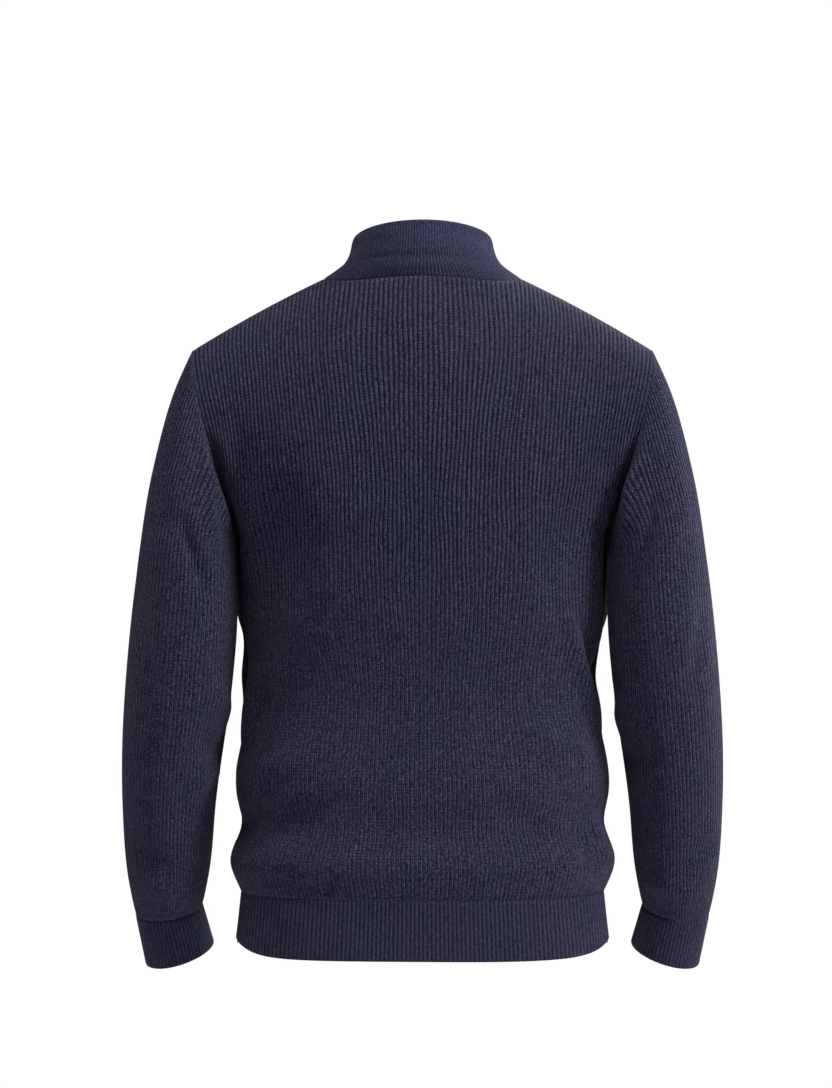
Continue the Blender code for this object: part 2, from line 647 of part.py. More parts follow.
def joined(name, meshes, collection, cutters):
    """One solid from several meshes that meet, by Boolean union."""
    base = bpy.data.objects.new(name, meshes[0])
    collection.objects.link(base)
    for number, mesh in enumerate(meshes[1:]):
        other = bpy.data.objects.new(f"{name}_piece_{number}", mesh)
        other.hide_render = True
        other.display_type = "WIRE"
        cutters.objects.link(other)
        union = base.modifiers.new(f"piece_{number}", "BOOLEAN")
        union.operation = "UNION"
        union.object = other
    return base


def build_slider(line, collection):
    """The slider, closed at the top, and the pull tab that hinges under its bail."""
    cutters = bpy.data.collections.new("cutters")
    bpy.context.scene.collection.children.link(cutters)
    plate_top = -(CHAIN_DEPTH - SEAM_GAP - SLIDER_PLATE)      # outer face, measured outwards
    plate_under = plate_top - SLIDER_PLATE
    rear_top = -(CHAIN_DEPTH + CHAIN_THICKNESS + SEAM_GAP)
    half = SLIDER_LENGTH / 2
    bail_top = plate_top + BAIL_RISE
    meshes = [
        box((-SLIDER_HALF_WIDTH, -half, plate_under), (SLIDER_HALF_WIDTH, half, plate_top)),
        box((-SLIDER_HALF_WIDTH, -half, rear_top - SLIDER_PLATE), (SLIDER_HALF_WIDTH, half, rear_top)),
        box((-POST_HALF_WIDTH, -half, rear_top - SLIDER_PLATE / 2),
            (POST_HALF_WIDTH, POST_LENGTH - half, plate_under + SLIDER_PLATE / 2)),
        box((-BAIL_HALF_WIDTH, -BAIL_HALF_LENGTH, bail_top),
            (BAIL_HALF_WIDTH, BAIL_HALF_LENGTH, bail_top + BAIL_METAL)),
    ]
    for end in (-1, 1):
        outer_end, inner_end = end * BAIL_HALF_LENGTH, end * (BAIL_HALF_LENGTH - BAIL_METAL)
        low, high = sorted((outer_end, inner_end))
        meshes.append(box((-BAIL_HALF_WIDTH, low, plate_top - SLIDER_PLATE / 2),
                          (BAIL_HALF_WIDTH, high, bail_top + BAIL_METAL / 2)))
    place, turn = line.frame(SLIDER_DROP + half)
    slider = joined("zip_slider", meshes, collection, cutters)
    slider.data.materials.append(finish_material("metal"))
    for item in [slider] + list(cutters.objects):
        item.matrix_world = Matrix.Translation(place) @ turn

    hinge_out = plate_top + BAIL_RISE / 2
    hinge = place + turn.to_3x3() @ Vector((0, 0, hinge_out))
    tab = add_object("zip_pull_tab", tab_mesh(), "metal", collection)
    tab.matrix_world = Matrix.Translation(hinge) @ turn


def tab_mesh():
    """A flat tab with rounded corners and an eye, its bar on the object's own X axis."""
    outline = bpy.data.curves.new("tab_outline", "CURVE")
    outline.dimensions = "2D"
    outline.fill_mode = "BOTH"
    outline.extrude = TAB_THICKNESS / 2
    top = -TAB_BAR / 2
    add_outline(outline, -TAB_HALF_WIDTH, top, TAB_HALF_WIDTH, top + TAB_LENGTH, 0.0022, 3)
    add_outline(outline, -TAB_EYE_HALF_WIDTH, TAB_BAR / 2, TAB_EYE_HALF_WIDTH,
                TAB_BAR / 2 + TAB_EYE_LENGTH, 0.0006, 1)
    holder = bpy.data.objects.new("tab_outline", outline)
    bpy.context.scene.collection.objects.link(holder)
    graph = bpy.context.evaluated_depsgraph_get()
    mesh = bpy.data.meshes.new_from_object(holder.evaluated_get(graph))
    bpy.data.objects.remove(holder)
    weld = bmesh.new()
    weld.from_mesh(mesh)
    bmesh.ops.remove_doubles(weld, verts=weld.verts, dist=1e-6)
    weld.to_mesh(mesh)
    weld.free()
    mesh.materials.clear()
    return mesh


def add_outline(curve, left, low, right, high, radius, steps):
    """A rectangle with rounded corners, as a closed spline of the curve."""
    corners = ((right, high, 0), (left, high, 90), (left, low, 180), (right, low, 270))
    points = []
    for x, y, start in corners:
        centre_x = x - radius if x == right else x + radius
        centre_y = y - radius if y == high else y + radius
        for step in range(steps + 1):
            angle = radians(start + 90 * step / steps)
            points.append((centre_x + radius * cos(angle), centre_y + radius * sin(angle)))
    spline = curve.splines.new("POLY")
    spline.points.add(len(points) - 1)
    for point, (x, y) in zip(spline.points, points):
        point.co = (x, y, 0, 1)
    spline.use_cyclic_u = True


def main():
    """Clears the scene and builds the sweater."""
    for item in list(bpy.data.objects):
        bpy.data.objects.remove(item, do_unlink=True)
    sweater = bpy.data.collections.new("half_zip_sweater")
    bpy.context.scene.collection.children.link(sweater)
    torso = Torso()
    build_sleeves(torso, sweater)
    collar_skin, collar_normals = build_collar(torso, sweater)
    build_torso(torso, sweater)
    build_hem(sweater)
    build_cuffs(sweater)
    build_zip(ZipLine(torso, collar_skin, collar_normals), sweater)


main()
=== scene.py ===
"""Looks of the half-zip sweater: ribbed knit shells, seams, a metal zip, a studio and a camera.

Metres, +Z up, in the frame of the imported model.  The garment's front faces -Y and its left
sleeve is at +X.  Each knit piece is a thin closed shell over the same form as its solid, with
its real number of ribs, its creases and its rolled edges; the zip's hard parts are modelled
from primitives.
"""

from __future__ import annotations

import logging
import math
from dataclasses import dataclass, field
from enum import Enum
from typing import Any, Callable, NamedTuple, Sequence

import bmesh
import bpy
import numpy as np
from mathutils import Matrix, Vector
from mathutils.bvhtree import BVHTree

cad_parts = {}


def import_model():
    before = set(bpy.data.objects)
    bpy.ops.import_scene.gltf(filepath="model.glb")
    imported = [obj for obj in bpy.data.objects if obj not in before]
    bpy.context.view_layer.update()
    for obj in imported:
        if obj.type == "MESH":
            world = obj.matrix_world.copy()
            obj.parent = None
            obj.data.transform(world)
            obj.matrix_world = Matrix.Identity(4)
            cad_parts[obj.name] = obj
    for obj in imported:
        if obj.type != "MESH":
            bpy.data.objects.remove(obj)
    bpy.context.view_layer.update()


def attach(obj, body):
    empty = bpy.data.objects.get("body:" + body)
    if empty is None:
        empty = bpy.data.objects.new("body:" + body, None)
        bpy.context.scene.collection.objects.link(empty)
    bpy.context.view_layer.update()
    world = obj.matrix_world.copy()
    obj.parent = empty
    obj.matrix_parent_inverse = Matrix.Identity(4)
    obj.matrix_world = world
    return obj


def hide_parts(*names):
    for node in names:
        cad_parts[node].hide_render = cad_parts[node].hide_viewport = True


Array = np.ndarray
Point = tuple[float, float, float]
Colour = tuple[float, float, float]
LOG = logging.getLogger("sweater")
KNIT_MAP = "knit"


class Side(Enum):
    """A panel of the torso, by the direction that it faces along Y."""

    BACK = 1
    FRONT = -1


class Hand(Enum):
    """A side of the garment, by its direction along X."""

    LEFT = 1
    RIGHT = -1


# ---- points ----
def unit(vectors: Array) -> Array:
    """Vectors scaled to length 1."""
    return vectors / np.maximum(np.linalg.norm(vectors, axis=-1, keepdims=True), 1e-12)


def lengths_along(path: Array) -> Array:
    """Each point's distance along a polyline from the first."""
    return np.concatenate(([0.0], np.cumsum(np.linalg.norm(np.diff(path, axis=0), axis=1))))


def read_between(wanted: Array, at: Array, values: Array) -> Array:
    """Triples that are given at stations, read at the wanted ones."""
    return np.stack([np.interp(wanted, at, values[:, axis]) for axis in range(3)], axis=-1)


def resample(path: Array, shares: Array, values: Array | None = None) -> Array:
    """A polyline's points, or values given at its points, at shares of its length."""
    along = lengths_along(path)
    return read_between(shares, along / along[-1], path if values is None else values)


def ramp(values: Array | float, start: float, reach: float) -> Array | float:
    """0 up to a start, 1 from a reach beyond it, and straight between the two."""
    return np.clip((values - start) / reach, 0, 1)


def eased(share: Array | float) -> Array | float:
    """A share of 0 to 1 that leaves 0 and meets 1 softly."""
    return share ** 2 * (3 - 2 * share)


def smooth_through(at: Array, values: Array, wanted: Array) -> Array:
    """Reads a smooth curve that passes through each of the given values.

    Args:
        at: Increasing stations.
        values: The value at each station, of any shape after the first axis.
        wanted: Stations to read.

    Returns:
        The curve's values at the wanted stations.
    """
    at, values, wanted = (np.asarray(part, float) for part in (at, values, wanted))
    spread = (-1,) + (1,) * (values.ndim - 1)
    gaps = np.diff(at).reshape(spread)
    slopes = np.diff(values, axis=0) / gaps
    inner = (slopes[1:] * gaps[:-1] + slopes[:-1] * gaps[1:]) / (gaps[1:] + gaps[:-1])
    tangents = np.concatenate((slopes[:1], inner, slopes[-1:]))
    index = np.clip(np.searchsorted(at, wanted, side="right") - 1, 0, len(at) - 2)
    width = (at[index + 1] - at[index]).reshape(spread)
    t = (wanted.reshape(spread) - at[index].reshape(spread)) / width
    first = (1 + 2 * t) * values[index] + t * width * tangents[index]
    last = (3 - 2 * t) * values[index + 1] - (1 - t) * width * tangents[index + 1]
    return (1 - t) ** 2 * first + t ** 2 * last


def distances(grid: Array, axis: int) -> Array:
    """Distance of each grid point from the first of its line.

    Args:
        grid: Points in rows and columns.
        axis: 1 to measure along rows, 0 along columns.

    Returns:
        The distances.
    """
    steps = np.linalg.norm(np.diff(grid, axis=axis), axis=-1)
    along = np.cumsum(steps, axis=axis)
    start = np.zeros_like(np.take(along, [0], axis=axis))
    return np.concatenate((start, along), axis=axis)


def outward(grid: Array, facing: float, closed: bool = False) -> Array:
    """Unit normals of a grid of points.

    Args:
        grid: Points in rows and columns.
        facing: 1 or -1, whichever makes the normals leave the garment.
        closed: Whether the columns close on themselves.

    Returns:
        One normal for each point.
    """
    if closed:
        across = np.roll(grid, -1, axis=1) - np.roll(grid, 1, axis=1)
    else:
        across = np.gradient(grid, axis=1)
    return facing * unit(np.cross(across, np.gradient(grid, axis=0)))


def edge_rows(count: int, first: bool, last: bool) -> Array:
    """Even steps from 0 to 1, with two closer ones added at a rolled edge.

    Args:
        count: Steps before any are added.
        first: Whether the first edge is rolled.
        last: Whether the last one is.

    Returns:
        The steps.
    """
    steps = list(np.linspace(0, 1, count + 1))
    if first:
        steps[1:1] = [steps[1] * 0.12, steps[1] * 0.42]
    if last:
        steps[-1:-1] = [1 - (1 - steps[-2]) * 0.42, 1 - (1 - steps[-2]) * 0.12]
    return np.array(steps)


def quads(row: Array, column: Array) -> list[tuple[Array, Array]]:
    """The rows and columns of the four corners of cells, in turn."""
    return [(row, column), (row, column + 1), (row + 1, column + 1), (row + 1, column)]


# ---- the garment's form, at the sizes of its solids ----
class TorsoRow(NamedTuple):
    """A level line of the torso."""

    z: float
    half_width: float
    back: float
    front: float


class CollarRow(NamedTuple):
    """A ring of the collar."""

    half_width: float
    side_y: float
    back_y: float
    front_y: float
    side_z: float
    back_z: float
    front_z: float


class SleeveRow(NamedTuple):
    """A ring of a sleeve or cuff, by its outer and inner edge, its middle and its depth."""

    outer_x: float
    outer_z: float
    inner_x: float
    inner_z: float
    mid_y: float
    half_depth: float
    back_dip: float


@dataclass(frozen=True)
class TorsoForm:
    """The surface that the back, the front and the hem lie on."""

    neck_end: Point = (0.0995, -0.003, 0.0)
    shoulder_tip: Point = (0.2305, 0.0, -0.0720)
    shoulder_bow: float = 0.0025
    squareness: float = 2.25
    side_seam_y: float = -0.004
    neck_share: float = 5 / 11
    neck_rise: float = 0.0235
    neck_cut: dict[Side, float] = field(
        default_factory=lambda: {Side.BACK: 0.27, Side.FRONT: 0.36})
    neck_fan: float = -0.06
    gather: float = 0.14
    leave: dict[Side, tuple[Point, Point]] = field(default_factory=lambda: {
        Side.BACK: ((0.0, 0.1055, 0.0244), (0.006, 0.075, -0.012)),
        Side.FRONT: ((0.0, -0.0843, -0.0409), (0.006, -0.072, -0.014))})
    leave_spread: float = 0.35
    arrive: tuple[Point, Point] = ((0.0, 0.0, 0.088), (0.008, 0.0, 0.026))
    arrive_depth: float = 0.078
    arrive_power: float = 4.0
    wander: float = 0.0034  # how far ribs stray sideways, in shares of the half girth
    wander_waves: tuple[tuple[float, float, float, float], ...] = (
        (1.0, 7.0, 24.0, 1.0), (0.7, 17.0, -41.0, 0.0), (0.5, 33.0, 73.0, 2.0))
    hem_seam_z: float = -0.612
    half_girth: float = 0.26  # turns a distance across the front into a share
    rows: tuple[TorsoRow, ...] = (
        TorsoRow(-0.250, 0.1850, 0.122, -0.127), TorsoRow(-0.335, 0.1822, 0.113, -0.122),
        TorsoRow(-0.408, 0.1728, 0.101, -0.114), TorsoRow(-0.511, 0.1865, 0.111, -0.115),
        TorsoRow(-0.543, 0.1815, 0.109, -0.112), TorsoRow(-0.583, 0.1922, 0.120, -0.119),
        TorsoRow(-0.6115, 0.1816, 0.114, -0.111))
    hem: tuple[TorsoRow, ...] = (
        TorsoRow(-0.6118, 0.1816, 0.114, -0.111), TorsoRow(-0.6660, 0.1868, 0.119, -0.115))

    def fan(self, steps: Array) -> Array:
        """Shares of the neck's half width at even steps from the middle."""
        return self.neck_fan * np.sin(steps * math.pi / 2) + (1 - self.neck_fan) * steps

    def girth(self, row: TorsoRow, side: Side, shares: Array) -> Array:
        """A panel's level line.

        Args:
            row: The level.
            side: The panel.
            shares: Places on it, from -1 at the right side seam to 1 at the left.

        Returns:
            One point for each share.
        """
        turn = np.linspace(-math.pi / 2, math.pi / 2, 481)
        power = self.squareness
        swell = (np.abs(np.sin(turn)) ** power + np.abs(np.cos(turn)) ** power) ** (-1 / power)
        middle = row.back if side is Side.BACK else row.front
        y = self.side_seam_y + (middle - self.side_seam_y) * np.cos(turn) * swell
        path = np.stack([row.half_width * np.sin(turn) * swell, y, np.full_like(y, row.z)], axis=-1)
        return resample(path, (shares + 1) / 2)

    def ridge(self, shares: Array) -> Array:
        """The shoulder seams and the arch over the neck between them.

        Args:
            shares: Places across, from -1 to 1.

        Returns:
            One point for each share.
        """
        end, tip = np.array(self.neck_end), np.array(self.shoulder_tip)
        out = np.abs(shares)
        neck = np.clip(out / self.neck_share, 0, 1)
        along = np.clip((out - self.neck_share) / (1 - self.neck_share), 0, 1)
        points = np.stack([end[0] * neck, np.full_like(neck, end[1]), np.zeros_like(neck)], axis=-1)
        points = points + (tip - end) * along[:, None]
        bow = self.shoulder_bow * 4 * along * (1 - along)
        points[:, 2] += self.neck_rise * (1 - neck ** 2) + bow
        points[:, 0] *= np.sign(shares)
        return points

    def yoke(self, side: Side, shares: Array, steps: Array) -> Array:
        """Points between the shoulders and the underarm.

        Args:
            side: The panel.
            shares: Places across it.
            steps: Places down it, from the ridge (0) to the underarm level (1).

        Returns:
            One point for each pair of share and step.
        """
        out, sign = np.abs(shares), np.sign(shares)
        start, stop = self.ridge(shares), self.girth(self.rows[0], side, shares)
        middle, tip = (np.array(handle) for handle in self.leave[side])
        fade = np.exp(-(out / self.leave_spread) ** 2)
        mirror = np.stack((sign * out ** 2, np.ones_like(out), np.ones_like(out)), axis=-1)
        leave = start + (tip + np.outer(fade, middle - tip)) * mirror
        middle, edge = (np.array(handle) for handle in self.arrive)
        turned = out ** self.arrive_power
        arrive = stop + np.stack((sign * turned * edge[0], np.zeros_like(out),
                                  middle[2] + turned * (edge[2] - middle[2])), axis=-1)
        arrive[:, 1] = side.value * (np.abs(stop[:, 1]) ** 4 + self.arrive_depth ** 4) ** 0.25
        t = steps[:, None]
        return ((1 - t) ** 3 * start + 3 * (1 - t) ** 2 * t * leave
                + 3 * (1 - t) * t ** 2 * arrive + t ** 3 * stop)

    def settled(self, count: int) -> Array:
        """Where a panel's columns stand below the shoulder blades, closest in the middle."""
        even = np.linspace(-1, 1, count)
        return even * (1 - self.gather * (1 - even ** 2))

    def wandered(self, shares: Array, level: float) -> Array:
        """Shares moved a little to the side, as ribs of worn knit wander.

        Args:
            shares: Places across a panel.
            level: Their height, or how far down the yoke they are.

        Returns:
            The moved shares.
        """
        drift = sum(size * np.sin(across * shares + down * level + start)
                    for size, across, down, start in self.wander_waves)
        held = (1 - shares ** 6) * ramp(np.abs(shares), 0.0, 0.05) ** 2
        ends = ramp(-level, 0.0, 0.08) * ramp(level, self.hem_seam_z, 0.05)
        return shares + self.wander * drift * held * ends

    def yoke_normals(self, side: Side, shares: Array, steps: Array) -> Array:
        """Outward unit normals of the yoke.

        Args:
            side: The panel.
            shares: Places across it.
            steps: Places down it.

        Returns:
            One normal for each pair.
        """
        apart = 2e-4
        low, high = (np.clip(shares + turn * apart, -1, 1) for turn in (-1, 1))
        above, below = (np.clip(steps + turn * apart, 0, 1) for turn in (-1, 1))
        across = self.yoke(side, high, steps) - self.yoke(side, low, steps)
        down = self.yoke(side, shares, below) - self.yoke(side, shares, above)
        return side.value * unit(np.cross(across, down))

    def neckline(self, side: Side, share: Array) -> Array:
        """The neckline, at shares of the neck's half width."""
        cut = self.neck_cut[side] * np.sqrt(np.clip(1 - share ** 2, 0, 1))
        return self.yoke(side, self.neck_share * share, cut)

    def between(self, rows: Sequence[TorsoRow], side: Side, shares: Array, steps: Array) -> Array:
        """A grid down a stack of level lines, smooth from one to the next.

        Args:
            rows: The level lines, downwards.
            side: The panel.
            shares: Places across it.
            steps: Places down the stack, from 0 to 1.

        Returns:
            Points in rows and columns.
        """
        table = np.array(rows)
        levels = table[0, 0] + (table[-1, 0] - table[0, 0]) * steps
        read = smooth_through(-table[:, 0], table, -levels)
        return np.array([self.girth(TorsoRow(*row), side, self.wandered(shares, row[0]))
                         for row in read])

    def panel(self, side: Side, shares: Array, upper: int, lower: int) -> tuple[Array, Array]:
        """The grid of the back or the front, from its upper edge to the hem seam.

        Args:
            side: The panel.
            shares: Where its columns stand at the underarm.
            upper: Rows of cells above the underarm.
            lower: Rows of cells below it.

        Returns:
            Points in rows and columns, and their outward normals.
        """
        inside = np.clip(np.abs(shares) / self.neck_share, 0, 1)
        in_neck = np.sign(shares) * self.neck_share * self.fan(inside)
        fanned = np.where(inside < 1, in_neck, shares)
        first = self.neck_cut[side] * np.sqrt(np.clip(1 - self.fan(inside) ** 2, 0, 1))
        places, settled = [], self.settled(len(shares))
        for step in np.linspace(0, 1, upper + 1):
            top = shares + (fanned - shares) * (1 - step) ** 2
            drawn = top + (settled - top) * eased(ramp(step, 0.2, 0.75))
            places.append((self.wandered(drawn, -0.25 * step), first + (1 - first) * step))
        below = self.between(self.rows, side, settled, np.linspace(0, 1, lower + 1)[1:])
        grid = np.concatenate((np.array([self.yoke(side, *place) for place in places]), below))
        normals = outward(grid, side.value)
        normals[:upper] = [self.yoke_normals(side, *place) for place in places[:-1]]
        return grid, normals


def mirrored_round(front: Array, back: Array) -> Array:
    """Two left halves and their mirror, from the front's middle round the left."""
    left = np.concatenate((front, back[::-1][1:]))
    return np.concatenate((left, left[::-1][1:] * (-1, 1, 1)))


@dataclass(frozen=True)
class CollarForm:
    """The surface of the stand collar, above a torso's neckline."""

    throat: CollarRow = CollarRow(0.0800, 0.000, 0.0695, -0.0725, 0.0130, 0.0180, -0.036)
    top: CollarRow = CollarRow(0.0690, 0.004, 0.0680, -0.0600, 0.0380, 0.0540, 0.018)
    slit_half: float = 0.005

    def quarter(self, row: CollarRow, side: Side, steps: Array) -> Array:
        """A quarter of a ring, from its middle or the slit's edge to its left side.

        Args:
            row: The ring.
            side: Its back or its front half.
            steps: Places along the quarter, from 0 to 1.

        Returns:
            One point for each step.
        """
        start = self.slit_half / row.half_width if side is Side.FRONT else 0.0
        share = start + (1 - start) * np.sin(steps * math.pi / 2)
        y, z = (row.back_y, row.back_z) if side is Side.BACK else (row.front_y, row.front_z)
        towards = np.sqrt(np.clip(1 - share ** 2, 0, 1))
        return np.stack([row.half_width * share, row.side_y + (y - row.side_y) * towards,
                         row.side_z + (z - row.side_z) * towards], axis=-1)

    def grid(self, torso: TorsoForm, cells: int, steps: Array) -> Array:
        """The collar's grid, from the slit's left edge round the back to its right edge.

        Args:
            torso: The form whose neckline it stands on.
            cells: Columns of cells in a quarter.
            steps: Places up it, from the top edge (0) to the neckline (1).

        Returns:
            Points in rows and columns.
        """
        even = np.linspace(0, 1, cells + 1)
        start = self.slit_half / torso.neck_end[0]
        base = (torso.neckline(Side.FRONT, start + (1 - start) * np.sin(even * math.pi / 2)),
                torso.neckline(Side.BACK, np.sin(even * math.pi / 2)))
        rings = []
        for front, back in [base] + [
                (self.quarter(row, Side.FRONT, even), self.quarter(row, Side.BACK, even))
                for row in (self.throat, self.top)]:
            rings.append(mirrored_round(front, back))
        return smooth_through([0.0, 0.65, 1.0], np.array(rings[::-1]), steps)


@dataclass(frozen=True)
class SleeveForm:
    """The surface of a sleeve and its cuff, set into a torso's armhole."""

    rows: tuple[SleeveRow, ...] = (
        SleeveRow(0.2495, -0.118, 0.1860, -0.264, 0.008, 0.068, 0.000),
        SleeveRow(0.2678, -0.190, 0.1856, -0.285, 0.018, 0.070, 0.000),
        SleeveRow(0.2823, -0.280, 0.1838, -0.330, 0.022, 0.068, 0.001),
        SleeveRow(0.2952, -0.400, 0.1890, -0.402, 0.020, 0.062, 0.004),
        SleeveRow(0.3000, -0.525, 0.2065, -0.522, -0.002, 0.053, 0.009),
        SleeveRow(0.2960, -0.598, 0.2140, -0.592, -0.022, 0.047, 0.010),
        SleeveRow(0.2895, -0.6365, 0.2215, -0.6285, -0.033, 0.0375, 0.009))
    cuff: tuple[SleeveRow, ...] = (
        SleeveRow(0.28945, -0.6368, 0.22145, -0.6288, -0.0331, 0.0375, 0.009),
        SleeveRow(0.2800, -0.6880, 0.2108, -0.6690, -0.0460, 0.0385, 0.010))
    fades: tuple[float, ...] = (0.45, 0.12)
    armhole_half_depth: float = 0.057

    @staticmethod
    def ring(row: SleeveRow, hand: Hand, turns: Array) -> Array:
        """Points round a ring.

        Args:
            row: The ring.
            hand: The sleeve.
            turns: Angles; 0 is the outer edge and a quarter turn the back.

        Returns:
            One point for each turn.
        """
        outer = np.array((row.outer_x, row.mid_y, row.outer_z))
        inner = np.array((row.inner_x, row.mid_y, row.inner_z))
        depth = np.array((0.0, row.half_depth, -row.back_dip))
        points = ((outer + inner) / 2 + np.outer(np.cos(turns), (outer - inner) / 2)
                  + np.outer(np.sin(turns), depth))
        return points * (hand.value, 1, 1)

    @staticmethod
    def armhole(torso: TorsoForm, hand: Hand, turns: Array) -> Array:
        """The armhole's points at the sleeve's own turns.

        Args:
            torso: The form that the armhole is in.
            hand: The sleeve.
            turns: The sleeve's angles.

        Returns:
            One point for each turn.
        """
        edge = np.full_like(turns, float(hand.value))
        back = torso.yoke(Side.BACK, edge, np.clip(turns / math.pi, 0, 1))
        front = torso.yoke(Side.FRONT, edge, np.clip(2 - turns / math.pi, 0, 1))
        return np.where(turns[:, None] <= math.pi, back, front)

    def grid(self, torso: TorsoForm, hand: Hand, count: int, steps: Array) -> Array:
        """The sleeve's grid, from the armhole to the cuff seam.

        Args:
            torso: The form it is set into.
            hand: The sleeve.
            count: Points round it.
            steps: Places down it, from 0 to 1.

        Returns:
            Points in rows and columns.
        """
        turns = np.arange(count) * 2 * math.pi / count
        seam = self.armhole(torso, hand, turns)
        rings = [seam] + [self.ring(row, hand, turns) for row in self.rows]
        tip, underarm = seam[0], seam[count // 2]
        plain = ((tip + underarm) / 2 + np.outer(np.cos(turns), (tip - underarm) / 2)
                 + np.outer(np.sin(turns), (0, self.armhole_half_depth, 0)))
        for ring, fade in zip(rings[2:], self.fades):
            ring += fade * (seam - plain)
        rings = np.array(rings)
        at = lengths_along(rings.mean(axis=1))
        return smooth_through(at, rings, at[-1] * steps)

    def cuff_grid(self, hand: Hand, count: int, steps: Array) -> Array:
        """The cuff's grid, from its seam to its edge.

        Args:
            hand: Which arm's cuff.
            count: Points round it.
            steps: Shares of the way down it.

        Returns:
            Points, by row and turn.
        """
        turns = np.arange(count) * 2 * math.pi / count
        upper, lower = (self.ring(row, hand, turns) for row in self.cuff)
        return upper + (lower - upper) * steps[:, None, None]


# ---- creases ----
class Crease(NamedTuple):
    """A soft trough (negative height) or ridge between two places on a piece."""

    from_a: float
    from_b: float
    to_a: float
    to_b: float
    width: float
    height: float


def creases(*rows: tuple[float, ...]) -> tuple[Crease, ...]:
    """Creases from rows of their six numbers."""
    return tuple(Crease(*row) for row in rows)


def crease_heights(a: Array, b: Array, folds: Sequence[Crease]) -> Array:
    """How far a piece's creases move its points outwards.

    Args:
        a: First coordinate of each point, across the piece.
        b: Second coordinate, along it.
        folds: The piece's creases, in the same two coordinates.

    Returns:
        A height for each point, faded towards each crease's two ends.
    """
    total = np.zeros_like(a)
    for crease in folds:
        run = np.array((crease.to_a - crease.from_a, crease.to_b - crease.from_b))
        length = float(np.hypot(*run))
        from_a, from_b = a - crease.from_a, b - crease.from_b
        along = (from_a * run[0] + from_b * run[1]) / length ** 2
        off = (from_a * run[1] - from_b * run[0]) / length
        fade = np.clip(1 - (2 * along - 1) ** 2, 0, 1) ** 0.8
        total += crease.height * fade * np.exp(-(off / crease.width) ** 2)
    return total


# ---- shader maths ----
class Value:
    """A number socket; Python's operators on it add Math nodes."""

    def __init__(self, nodes: Nodes, socket: bpy.types.NodeSocket) -> None:
        """Names an output in a node tree."""
        self.nodes, self.socket = nodes, socket

    def math(self, operation: str, *others: Value | float) -> Value:
        """One Math node on this value and others."""
        return self.nodes.math(operation, self, *others)

    def __add__(self, other: Value | float) -> Value:
        """This and another added."""
        return self.math("ADD", other)

    def __mul__(self, other: Value | float) -> Value:
        """This and another multiplied."""
        return self.math("MULTIPLY", other)

    def __sub__(self, other: Value | float) -> Value:
        """This less another."""
        return self.math("SUBTRACT", other)

    def __rsub__(self, other: float) -> Value:
        """A number less this."""
        return self.nodes.math("SUBTRACT", other, self)

    def __truediv__(self, other: Value | float) -> Value:
        """This divided by another."""
        return self.math("DIVIDE", other)

    def __pow__(self, other: Value | float) -> Value:
        """This to a power."""
        return self.math("POWER", other)

    def clipped(self) -> Value:
        """The value held between 0 and 1."""
        return self.math("MINIMUM", 1.0).math("MAXIMUM", 0.0)

    def fraction(self) -> Value:
        """The part after the point."""
        return self.math("FRACT")

    def size(self) -> Value:
        """The value without its sign."""
        return self.math("ABSOLUTE")


